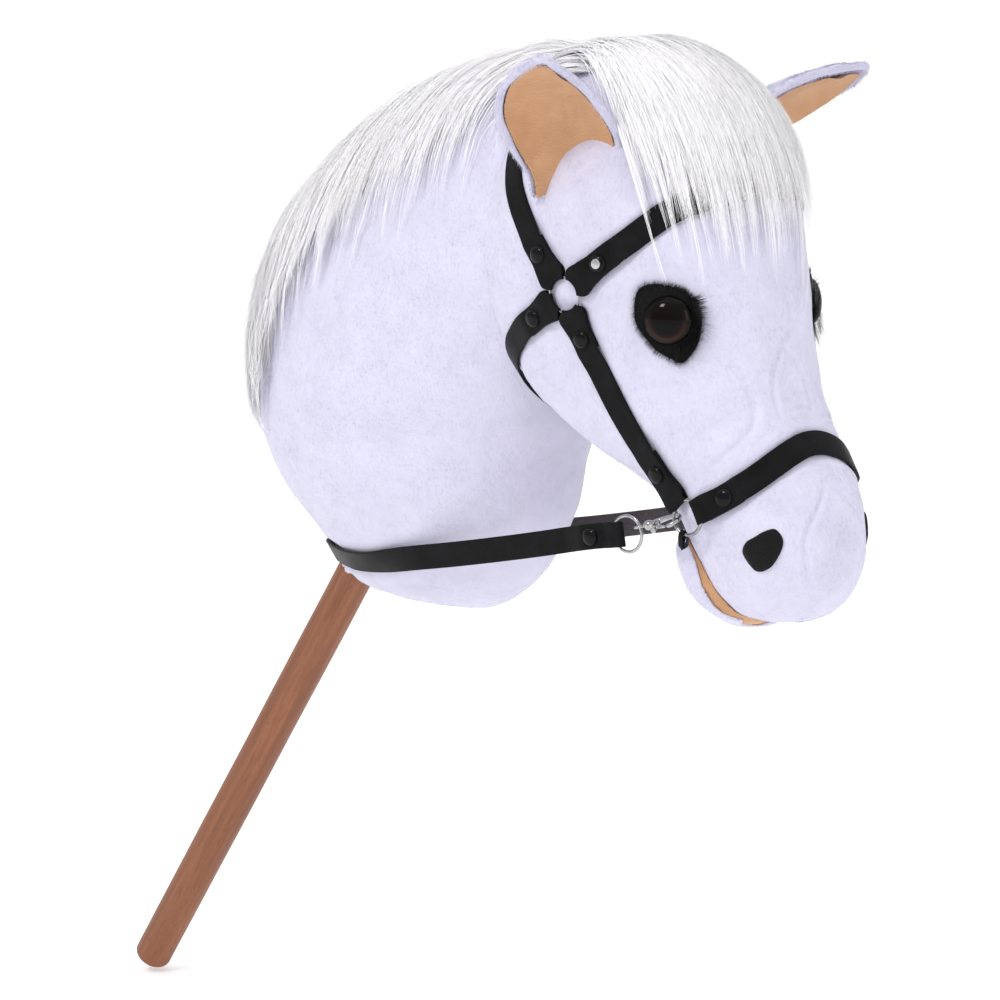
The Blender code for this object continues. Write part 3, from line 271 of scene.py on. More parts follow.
def torus(at, axis, major, minor, around=96, across=16):
    axis = unit(axis)
    u = unit(np.cross(axis, [0.3, 0.2, 0.93]))
    v = np.cross(axis, u)
    verts, faces = [], []
    for i in range(around):
        a = 2 * math.pi * i / around
        out = u * math.cos(a) + v * math.sin(a)
        for k in range(across):
            b = 2 * math.pi * (k + 0.5) / across
            verts.append(at + out * (major + minor * math.cos(b)) + axis * minor * math.sin(b))
    for i in range(around):
        for k in range(across):
            a, b = i * across + k, i * across + (k + 1) % across
            c, d = ((i + 1) % around) * across + (k + 1) % across, ((i + 1) % around) * across + k
            faces.append((a, b, c, d))
    return verts, faces


def plain_object(name, verts, faces):
    mesh = bpy.data.meshes.new(name)
    verts = np.asarray(verts, float).reshape(-1, 3)
    faces = faces.tolist() if isinstance(faces, np.ndarray) else faces
    mesh.from_pydata(verts.tolist(), [], faces)
    obj = bpy.data.objects.new(name, mesh)
    SCENE.collection.objects.link(obj)
    return obj


def outward(obj):
    bm = bmesh.new()
    bm.from_mesh(obj.data)
    bmesh.ops.recalc_face_normals(bm, faces=bm.faces)
    bm.to_mesh(obj.data)
    bm.free()
    return obj


def piece(name, verts, faces, mat, replaces=(), slot=None, body="toy", angle=None, turn=True):
    obj = plain_object(name, verts, faces)
    if turn:
        outward(obj)
    return dress(obj, mat, replaces, body, angle)


def dress(obj, mat, replaces=(), body="toy", angle=None):
    obj.data.materials.clear()
    obj.data.materials.append(mat)
    obj.data.shade_smooth()
    if angle:
        obj.data.set_sharp_from_angle(angle=math.radians(angle))
    if replaces:
        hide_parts(*([replaces] if isinstance(replaces, str) else replaces))
    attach(obj, body)
    return obj


def settle(obj):
    """Writes the modifiers' result into the object's own mesh."""
    graph = bpy.context.evaluated_depsgraph_get()
    mesh = bpy.data.meshes.new_from_object(obj.evaluated_get(graph))
    obj.modifiers.clear()
    obj.data = mesh
    return obj


def boolean(obj, operation, *others):
    for k, other in enumerate(others):
        mod = obj.modifiers.new(f"{operation.lower()}_{k}", "BOOLEAN")
        mod.operation = operation
        mod.solver = "EXACT"
        mod.object = other
    settle(obj)
    for other in others:
        bpy.data.objects.remove(other)
    return obj


def rounded(obj, voxel, smooth=4, subdivide=0, factor=0.5):
    """One even closed surface with softened edges."""
    mod = obj.modifiers.new("remesh", "REMESH")
    mod.mode = "VOXEL"
    mod.voxel_size = voxel
    if smooth:
        mod = obj.modifiers.new("smooth", "SMOOTH")
        mod.factor, mod.iterations = factor, smooth
    if subdivide:
        mod = obj.modifiers.new("subdivide", "SUBSURF")
        mod.levels = mod.render_levels = subdivide
    return settle(obj)


def points_of(mesh):
    co = np.empty(len(mesh.vertices) * 3, np.float32)
    mesh.vertices.foreach_get("co", co)
    return co.reshape(-1, 3).astype(float)


def normals_of(mesh):
    co = np.empty(len(mesh.vertices) * 3, np.float32)
    mesh.vertex_normals.foreach_get("vector", co)
    return co.reshape(-1, 3).astype(float)


def put_points(mesh, points):
    mesh.vertices.foreach_set("co", np.asarray(points, np.float32).ravel())
    mesh.update()


def tree_of(obj):
    graph = bpy.context.evaluated_depsgraph_get()
    mesh = obj.evaluated_get(graph).to_mesh()
    mesh.calc_loop_triangles()
    verts = [v.co.copy() for v in mesh.vertices]
    tris = [tuple(t.vertices) for t in mesh.loop_triangles]
    normals = [Vector((0, 0, 0)) for _ in verts]
    for a, b, c in tris:
        n = (verts[b] - verts[a]).cross(verts[c] - verts[a])
        for k in (a, b, c):
            normals[k] += n
    normals = [n.normalized() for n in normals]
    return BVHTree.FromPolygons(verts, tris), verts, tris, normals


def snap(tree, p):
    bvh, verts, tris, normals = tree
    co, flat, index, _ = bvh.find_nearest(Vector(p))
    total, weight = Vector((0, 0, 0)), 0.0
    for k in tris[index]:
        w = 1.0 / ((verts[k] - co).length + 0.002)
        total += normals[k] * w
        weight += w
    return np.array(co), unit(np.array(total / weight))


def height_over(tree, p):
    co, flat, _, _ = tree[0].find_nearest(Vector(p))
    return float((Vector(p) - co).dot(flat))


def waves(points, seed, size, octaves=2):
    """Smooth pseudo-random values from -1 to 1 that vary over `size` metres."""
    rng = np.random.default_rng(seed)
    out, total = np.zeros(len(points)), 0.0
    for o in range(octaves):
        k = 2 * math.pi / (size / 2**o)
        for _ in range(6):
            d = units(rng.normal(size=3))
            out += np.sin(points @ d * k * rng.uniform(0.7, 1.3) + rng.uniform(0, 6.28)) * 0.5**o
            total += 0.5 * 0.5 ** (2 * o)
    return out / math.sqrt(total) / 2.2


def distance_to_line(points, line):
    """Least distance of each point to a line of straight segments, and how far along it."""
    best = np.full(len(points), 1e9)
    where = np.zeros(len(points))
    line = np.asarray(line, float)
    low, high = line.min(0) - 0.03, line.max(0) + 0.03
    near = np.all((points > low) & (points < high), axis=1)
    sub = points[near]
    b, w = best[near], where[near]
    for i, (a, c) in enumerate(zip(line, line[1:])):
        d = c - a
        t = np.clip(((sub - a) @ d) / max(d @ d, 1e-12), 0, 1)
        r = np.linalg.norm(sub - (a + t[:, None] * d), axis=1)
        closer = r < b
        b[closer] = r[closer]
        w[closer] = (i + t[closer]) / (len(line) - 1)
    best[near], where[near] = b, w
    return best, where


# ---------------------------------------------------------------------------
# Materials
# ---------------------------------------------------------------------------
class Look:
    """A Principled material and short ways to add its nodes."""

    def __init__(self, name, roughness=0.5, metallic=0.0, colour=(0.8, 0.8, 0.8), **sockets):
        self.mat = bpy.data.materials.new(name)
        self.mat.use_nodes = True
        self.tree = self.mat.node_tree
        self.bsdf = self.tree.nodes["Principled BSDF"]
        self.set("Roughness", roughness)
        self.set("Metallic", metallic)
        self.set("Base Color", (*colour, 1))
        for key, value in sockets.items():
            self.set(key.replace("_", " "), value)
        self.where = self.tree.nodes.new("ShaderNodeTexCoord").outputs["Object"]

    def set(self, socket, value):
        self.bsdf.inputs[socket].default_value = value

    def node(self, kind, inputs=(), **settings):
        n = self.tree.nodes.new(kind)
        for key, value in settings.items():
            setattr(n, key, value)
        for key, value in dict(inputs).items():
            if isinstance(value, bpy.types.NodeSocket):
                self.tree.links.new(value, n.inputs[key])
            else:
                n.inputs[key].default_value = value
        return n

    def link(self, value, socket):
        self.tree.links.new(value, self.bsdf.inputs[socket])

    def mapped(self, scale=(1, 1, 1), rotation=(0, 0, 0), location=(0, 0, 0)):
        n = self.node("ShaderNodeMapping", {"Vector": self.where})
        n.inputs["Scale"].default_value = scale
        n.inputs["Rotation"].default_value = rotation
        n.inputs["Location"].default_value = location
        return n.outputs["Vector"]

    def noise(self, scale, detail=3.0, roughness=0.55, vector=None, distortion=0.0):
        n = self.node("ShaderNodeTexNoise", {"Vector": vector or self.where, "Scale": scale, "Detail": detail, "Roughness": roughness, "Distortion": distortion})
        return n.outputs["Fac"]

    def cells(self, scale, vector=None, feature="DISTANCE_TO_EDGE"):
        n = self.node("ShaderNodeTexVoronoi", {"Vector": vector or self.where, "Scale": scale}, feature=feature)
        return n.outputs["Distance"]

    def ramp(self, value, stops):
        n = self.node("ShaderNodeValToRGB", {"Fac": value})
        ramp = n.color_ramp
        while len(ramp.elements) < len(stops):
            ramp.elements.new(0.5)
        for e, (at, colour) in zip(ramp.elements, stops):
            e.position = at
            e.color = (*colour, 1) if hasattr(colour, "__len__") else (colour, colour, colour, 1)
        return n.outputs["Color"]

    def math(self, operation, a, b=0.0, c=0.0):
        n = self.node("ShaderNodeMath", operation=operation)
        for k, value in enumerate((a, b, c)):
            if isinstance(value, bpy.types.NodeSocket):
                self.tree.links.new(value, n.inputs[k])
            else:
                n.inputs[k].default_value = value
        return n.outputs[0]

    def mix(self, factor, a, b, blend="MIX"):
        n = self.node("ShaderNodeMix", data_type="RGBA", blend_type=blend)
        for socket, value in ((n.inputs["Factor"], factor), (n.inputs[6], a), (n.inputs[7], b)):
            if isinstance(value, bpy.types.NodeSocket):
                self.tree.links.new(value, socket)
            elif hasattr(value, "__len__"):
                socket.default_value = (*value, 1)
            else:
                socket.default_value = value
        return n.outputs[2]

    def spread(self, value, low, high):
        n = self.node("ShaderNodeMapRange", {"Value": value, "To Min": low, "To Max": high})
        return n.outputs["Result"]

    def bump(self, height, strength, distance, normal=None):
        inputs = {"Height": height, "Strength": strength, "Distance": distance}
        if normal is not None:
            inputs["Normal"] = normal
        return self.node("ShaderNodeBump", inputs).outputs["Normal"]


def make_looks():
    looks = {}
    # short plush: cool white, softly mottled by the lie of its pile
    for name, dark, light in (("plush", (0.590, 0.575, 0.704), (0.655, 0.638, 0.773)), ("pile", (0.614, 0.598, 0.735), (0.686, 0.670, 0.808))):
        m = Look(name, 0.93, Sheen_Weight=0.25, Sheen_Roughness=0.5, Specular_IOR_Level=0.2)
        broad = m.noise(38, 4, 0.6, distortion=0.4)
        fine = m.noise(620, 3, 0.65)
        both = m.math("ADD", m.math("MULTIPLY", broad, 0.65), m.math("MULTIPLY", fine, 0.35))
        m.link(m.ramp(both, [(0.34, dark), (0.62, light)]), "Base Color")
        m.link(m.spread(fine, 0.86, 0.98), "Roughness")
        if name == "plush":
            n = m.bump(m.noise(1150, 2, 0.7, m.mapped((1, 1, 0.35))), 0.30, 0.0005)
            m.link(m.bump(m.noise(170, 3, 0.6), 0.22, 0.0010, n), "Normal")
        looks[name] = m.mat

    m = Look("hair", 0.62, Specular_IOR_Level=0.18, Sheen_Weight=0.10)
    island = m.node("ShaderNodeNewGeometry").outputs["Random Per Island"]
    lock = m.noise(26, 3, 0.6)
    both = m.math("ADD", m.math("MULTIPLY", island, 0.6), m.math("MULTIPLY", lock, 0.4))
    m.link(m.ramp(both, [(0.10, (0.900, 0.885, 0.895)), (0.45, (0.945, 0.935, 0.945)), (0.85, (0.975, 0.970, 0.980))]), "Base Color")
    m.link(m.spread(lock, 0.55, 0.72), "Roughness")
    looks["hair"] = m.mat

    m = Look("hair_under", 0.75, Specular_IOR_Level=0.2)
    streak = m.noise(260, 5, 0.7, m.mapped((1.0, 1.0, 0.10)))
    m.link(m.ramp(streak, [(0.32, (0.900, 0.885, 0.895)), (0.60, (0.950, 0.940, 0.950))]), "Base Color")
    m.link(m.spread(streak, 0.62, 0.85), "Roughness")
    m.link(m.bump(streak, 0.3, 0.0015), "Normal")
    looks["hair_under"] = m.mat

    m = Look("stuffing_fibre", 0.95)
    f = m.noise(300, 5, 0.7, distortion=1.5)
    m.link(m.ramp(f, [(0.3, (0.80, 0.80, 0.78)), (0.7, (0.94, 0.94, 0.93))]), "Base Color")
    m.link(m.bump(f, 0.6, 0.002), "Normal")
    m.link(m.spread(f, 0.88, 1.0), "Roughness")
    looks["stuffing"] = m.mat

    # tan lining: a fine ribbed fabric
    for name, turn in (("tan_right", (0.0, 0.34, 0.78)), ("tan_left", (1.1, 0.0, 0.4)), ("tan_mouth", (0.0, 0.5, 0.0))):
        m = Look(name, 0.9, Sheen_Weight=0.2, Specular_IOR_Level=0.25)
        ribs = m.node("ShaderNodeTexWave", {"Vector": m.mapped(rotation=turn), "Scale": 265.0, "Distortion": 1.2, "Detail": 1.0, "Detail Scale": 0.6}, bands_direction="Z").outputs["Fac"]
        broad = m.noise(45, 3, 0.6)
        cloth = m.ramp(broad, [(0.3, (0.505, 0.270, 0.135)), (0.7, (0.590, 0.335, 0.185))])
        m.link(m.mix(m.math("MULTIPLY", ribs, 0.22), cloth, (0.440, 0.220, 0.105)), "Base Color")
        m.link(m.spread(ribs, 0.8, 0.95), "Roughness")
        n = m.bump(ribs, 0.30, 0.0004)
        m.link(m.bump(m.noise(1500, 2, 0.6), 0.3, 0.0004, n), "Normal")
        looks[name] = m.mat

    # black fabrics
    for name, low, high, scale in (("felt", 0.003, 0.010, 900), ("fur_black", 0.002, 0.010, 500)):
        m = Look(name, 0.95, Sheen_Weight=0.12, Specular_IOR_Level=0.15)
        f = m.noise(scale, 4, 0.7)
        m.link(m.ramp(f, [(0.3, (low, low, low * 1.05)), (0.7, (high, high, high * 1.05))]), "Base Color")
        m.link(m.spread(f, 0.85, 1.0), "Roughness")
        m.link(m.bump(f, 0.7, 0.0008), "Normal")
        looks[name] = m.mat

    # black leatherette: small pebbled grain, softly worn
    for name, inner in (("leather", False), ("leather_inner", True)):
        m = Look(name, 0.42, Specular_IOR_Level=0.07)
        pebble = m.cells(1250)
        broad = m.noise(60, 4, 0.6)
        fine = m.noise(2400, 2, 0.6)
        if inner:
            m.link(m.ramp(m.noise(900, 4, 0.7), [(0.3, (0.050, 0.042, 0.045)), (0.7, (0.095, 0.082, 0.086))]), "Base Color")
            m.link(m.spread(broad, 0.8, 0.95), "Roughness")
        else:
            m.link(m.ramp(broad, [(0.3, (0.0045, 0.0045, 0.0050)), (0.7, (0.0095, 0.0095, 0.0105))]), "Base Color")
            m.link(m.spread(broad, 0.33, 0.52), "Roughness")
        n = m.bump(m.ramp(pebble, [(0.0, 0.0), (0.25, 1.0)]), 0.25, 0.0003)
        m.link(m.bump(m.math("ADD", broad, m.math("MULTIPLY", fine, 0.2)), 0.20, 0.0012, n), "Normal")
        looks[name] = m.mat

    m = Look("stud_enamel", 0.12, Specular_IOR_Level=0.16)
    f = m.noise(180, 3, 0.6)
    m.link(m.ramp(f, [(0.3, (0.002, 0.002, 0.0025)), (0.8, (0.006, 0.006, 0.0065))]), "Base Color")
    m.link(m.spread(f, 0.10, 0.24), "Roughness")
    looks["stud"] = m.mat

    # painted reflection: bright metal for the centres of the brow studs, in place of the light reflected in their domes
    m = Look("stud_painted_reflection", 0.25, metallic=1.0)
    f = m.noise(260, 3, 0.6)
    m.link(m.ramp(f, [(0.3, (0.42, 0.42, 0.44)), (0.7, (0.62, 0.62, 0.64))]), "Base Color")
    m.link(m.spread(f, 0.22, 0.40), "Roughness")
    looks["stud_painted_reflection"] = m.mat

    for name, low, high, ra, rb in (("nickel", 0.34, 0.50, 0.12, 0.24), ("ring_metal", 0.20, 0.38, 0.10, 0.22)):
        m = Look(name, 0.15, metallic=1.0)
        f = m.noise(420, 4, 0.6)
        m.link(m.ramp(f, [(0.3, (low, low, low * 1.01)), (0.7, (high, high * 0.995, high * 0.985))]), "Base Color")
        m.link(m.spread(f, ra, rb), "Roughness")
        m.link(m.bump(m.noise(700, 2, 0.5), 0.08, 0.0003), "Normal")
        looks[name] = m.mat

    m = Look("washer_plastic", 0.5)
    f = m.noise(200, 3, 0.6)
    m.link(m.ramp(f, [(0.3, (0.62, 0.62, 0.60)), (0.7, (0.74, 0.74, 0.72))]), "Base Color")
    m.link(m.spread(f, 0.42, 0.6), "Roughness")
    looks["washer"] = m.mat

    # stained beech: long grain, small pores, broad patches of uneven tone
    m = Look("wood_stained", 0.5, Specular_IOR_Level=0.4)
    grain = m.mapped((1, 1, 1), (0, -STICK_LEAN, 0))
    long_grain = m.node("ShaderNodeMapping", {"Vector": grain})
    long_grain.inputs["Scale"].default_value = (1, 1, 0.045)
    g = m.noise(190, 5, 0.65, long_grain.outputs["Vector"], 0.6)
    broad = m.noise(9, 2, 0.5, grain)
    pores = m.node("ShaderNodeMapping", {"Vector": grain})
    pores.inputs["Scale"].default_value = (1, 1, 0.09)
    p = m.noise(1500, 2, 0.5, pores.outputs["Vector"])
    tone = m.ramp(g, [(0.30, (0.155, 0.050, 0.020)), (0.52, (0.235, 0.083, 0.035)), (0.72, (0.325, 0.125, 0.058))])
    tone = m.mix(m.spread(broad, 0.0, 0.35), tone, (0.275, 0.104, 0.048))
    m.link(m.mix(m.ramp(p, [(0.30, 0.55), (0.40, 0.0)]), tone, (0.110, 0.034, 0.014)), "Base Color")
    m.link(m.spread(g, 0.42, 0.60), "Roughness")
    m.link(m.bump(m.math("ADD", g, p), 0.12, 0.0006), "Normal")
    looks["wood"] = m.mat
    return looks


LOOKS = make_looks()


def eye_look(name, at, axis):
    """A domed eye: dark pupil, brown iris and a dark outer rim, by distance from its axis, with painted shade over the
    top of the iris and painted light on its lower side.
    """
    m = Look(name, 0.04, Specular_IOR_Level=0.11)
    sub = m.node("ShaderNodeVectorMath", {0: m.where, 1: tuple(at)}, operation="SUBTRACT").outputs[0]
    along_axis = m.node("ShaderNodeVectorMath", {0: sub, 1: tuple(axis)}, operation="DOT_PRODUCT").outputs["Value"]
    part = m.node("ShaderNodeVectorMath", {0: tuple(axis)}, operation="SCALE")
    m.tree.links.new(along_axis, part.inputs["Scale"])
    flat = m.node("ShaderNodeVectorMath", {0: sub, 1: part.outputs[0]}, operation="SUBTRACT").outputs[0]
    far = m.node("ShaderNodeVectorMath", {0: flat}, operation="LENGTH").outputs["Value"]
    ring = m.spread(far, 0.0, 1.0)
    ring.node.inputs["From Max"].default_value = EYE_R
    streaks = m.noise(420, 3, 0.6)
    ring = m.math("ADD", ring, m.math("MULTIPLY", m.math("SUBTRACT", streaks, 0.5), 0.05))
    iris = m.ramp(ring, [(0.52, (0.0020, 0.0016, 0.0016)), (0.64, (0.010, 0.0045, 0.003)), (0.76, (0.038, 0.017, 0.010)), (0.85, (0.016, 0.007, 0.0045)), (0.93, (0.004, 0.003, 0.003))])
    # painted light and shade: the iris is covered near black above and left brown below, as light falling through the
    # dome from above lights its lower side
    low = m.spread(m.node("ShaderNodeSeparateXYZ", {0: flat}).outputs["Z"], 0.0, 1.0)
    low.node.inputs["From Min"].default_value = -EYE_R * 0.75
    low.node.inputs["From Max"].default_value = EYE_R * 0.45
    m.link(m.mix(low, iris, (0.0035, 0.0022, 0.0018)), "Base Color")
    m.link(m.spread(streaks, 0.03, 0.07), "Roughness")
    return m.mat


# ---------------------------------------------------------------------------
# The bodies under the plush, as the solids have them
# ---------------------------------------------------------------------------
def guide_tree(rows, rings, around):
    obj = plain_object("guide", *loft(rows, rings, around))
    outward(obj)
    tree = tree_of(obj)
    bpy.data.objects.remove(obj)
    return tree


TREES = {"head": guide_tree(HEAD, 25, 26), "neck": guide_tree(NECK, 23, 24)}


def seen(px, py, which="head"):
    """The point of the horse's skin that the camera sees at a pixel."""
    ray = RIGHT * ((px - 500) / FOCAL) + UPWARD * ((500 - py) / FOCAL) - BACK
    hit, _, _, _ = TREES[which][0].ray_cast(Vector(EYE_POINT), Vector(unit(ray)))
    if hit is None:
        raise ValueError(f"nothing of the {which} is seen at {px}, {py}")
    return np.array(hit)


# ---------------------------------------------------------------------------
# Bridle frames, as the solids have them
# ---------------------------------------------------------------------------
class Ring:
    def __init__(self, at, normal, radius, wire, curve=1.0, gap=0.0002):
        self.at, self.normal = np.asarray(at, float), unit(normal)
        self.radius, self.wire = radius, wire
        self.curve, self.gap = curve, gap
        self.loop = wire + 0.0006 + STRAP_T / 2

    def mirrored(self):
        return Ring(flip(self.at), flip(self.normal), self.radius, self.wire, self.curve, self.gap)


class Path:
    def __init__(self, points, normals):
        points, normals = np.array(points), np.array(normals)
        fine = catmull(np.hstack([points, normals]), (len(points) - 1) * 12 + 1)
        self.p, self.n = fine[:, :3], fine[:, 3:]
        self.s = np.concatenate([[0], np.cumsum(np.linalg.norm(np.diff(self.p, axis=0), axis=1))])
        self.length = self.s[-1]

    def at(self, s):
        p = np.array([np.interp(s, self.s, self.p[:, k]) for k in range(3)])
        n = unit([np.interp(s, self.s, self.n[:, k]) for k in range(3)])
        return p, n


def strap(path, first, last, fold_first, fold_last, width, ends, spacing=0.013, thick=STRAP_T, reach=0.0):
    base = LIFT + thick / 2
    stack = thick + FOLD_GAP
    thin = min(FOLD_T, thick * 0.8)  # the strap is pared thin where it folds

    def across(ring):
        return ends[0] if abs(ring.radius - TEMPLE_RING_R) < 1e-6 else ends[1]

    def bend(ring, t, d):
        return (ring.curve * (1 - float(smoothstep(0.003, 0.012, d))), t, ring.radius, d, thin + (thick - thin) * float(smoothstep(0.001, 0.007, d)))

    def layer(ring, sign, d, top, fold):
        loop = ring.wire + ring.gap + thin / 2
        s = ring.radius + d
        p, n = path.at(s if sign > 0 else path.length - s)
        q, _ = path.at(ring.radius + 0.012 if sign > 0 else path.length - ring.radius - 0.012)
        t = q - ring.at
        t = unit(t - ring.normal * (t @ ring.normal))
        rise = 2 * loop + (stack - 2 * loop) * smoothstep(0.001, 0.008, d)
        lay = stack * (1 - smoothstep(fold + 0.001, fold + 0.011, d))
        near = ring.at + t * (ring.radius + d) + ring.normal * (-loop + (rise if top else 0.0))
        away = p + n * (base + (lay if top else 0.0))
        w = smoothstep(0.006, 0.020, d)
        return near * (1 - w) + away * w, unit(ring.normal * (1 - w) + n * w), bend(ring, t, d)

    def width_at(ring, d):
        return across(ring) + (width - across(ring)) * smoothstep(0.0, 0.0035, d)

    def spots(fold):
        return (0.002, 0.005, 0.009, 0.009 + (fold - 0.009) * 0.35, 0.009 + (fold - 0.009) * 0.68, fold)

    def end(ring, sign, fold):
        q, _ = path.at(ring.radius + 0.012 if sign > 0 else path.length - ring.radius - 0.012)
        t = q - ring.at
        t = unit(t - ring.normal * (t @ ring.normal))
        out = []
        for d in reversed(spots(fold)):
            p, n, b = layer(ring, sign, d, False, fold)
            out.append((p, -n, width_at(ring, d), b))
        inner = ring.at + t * (ring.radius - reach)
        loop = ring.wire + ring.gap + thin / 2
        for k in range(7):
            a = -math.pi / 2 - math.pi * k / 6
            radial = t * math.cos(a) + ring.normal * math.sin(a)
            out.append((inner + radial * loop, radial, across(ring), (ring.curve, t, ring.radius, loop * math.cos(a), thin)))
        for d in spots(fold) + (fold + 0.006,):
            p, n, b = layer(ring, sign, d, True, fold)
            out.append((p, n, width_at(ring, d), b))
        return out

    frames = end(first, 1, fold_first)
    turn = len(frames)
    start, stop = first.radius + fold_first + 0.014, path.length - last.radius - fold_last - 0.014
    count = max(int(round((stop - start) / spacing)), 2)
    for s in np.linspace(start, stop, count + 1):
        da, db = s - first.radius, path.length - s - last.radius
        if da < db:
            p, n, b = layer(first, 1, da, True, fold_first)
            w = width_at(first, da)
        else:
            p, n, b = layer(last, -1, db, True, fold_last)
            w = width_at(last, db)
        frames.append((p, n, w, b))
    frames += end(last, -1, fold_last)[::-1]
    total = len(frames)
    pairs = [(k, turn - 2 - k) for k in range(6)] + [(total - 1 - k, total - turn + 1 + k) for k in range(6)]
    return [f[0] for f in frames], [f[1] for f in frames], [float(f[2]) for f in frames], [f[3] for f in frames], pairs


def clear_of(trees, points, normals, widths, pairs, least=0.0011, passes=10):
    points = [np.array(p) for p in points]
    below = dict(pairs)
    above = {b: a for a, b in pairs}
    last = len(points) - 1
    loops = set(range(6, 13)) | set(range(last - 12, last - 5))
    for _ in range(passes):
        push = np.zeros(len(points))
        for i, (p, n) in enumerate(zip(points, normals)):
            if i in loops or i in above:
                continue
            t = unit(points[min(i + 1, last)] - points[max(i - 1, 0)])
            side = unit(np.cross(t, n))
            worst = 1.0
            for tree in trees:
                for k in (-0.5, -0.25, 0.0, 0.25, 0.5):
                    for h in (-0.5, 0.5):
                        worst = min(worst, height_over(tree, p + side * widths[i] * k + n * h * STRAP_T))
            if worst < least:
                push[i] = least - worst
        for low, top in pairs:
            push[top] = push[low]
        if push.max() < 1e-5:
            break
        spread = push.copy()
        for i in range(len(push)):
            for j in (i - 1, i + 1):
                if 0 <= j <= last and i not in loops and i not in above and i not in below:
                    spread[i] = max(spread[i], push[j] * 0.5)
        for i in range(len(points)):
            up = -normals[i] if i in below else normals[i]
            points[i] = points[i] + up * spread[i]
    return points


def in_plane(normal, angle):
    ahead = unit(np.array([1.0, 0, 0]) - normal * normal[0])
    up = np.cross(normal, ahead)
    up = up if up[2] > 0 else -up
    return ahead * math.cos(angle) + up * math.sin(angle)


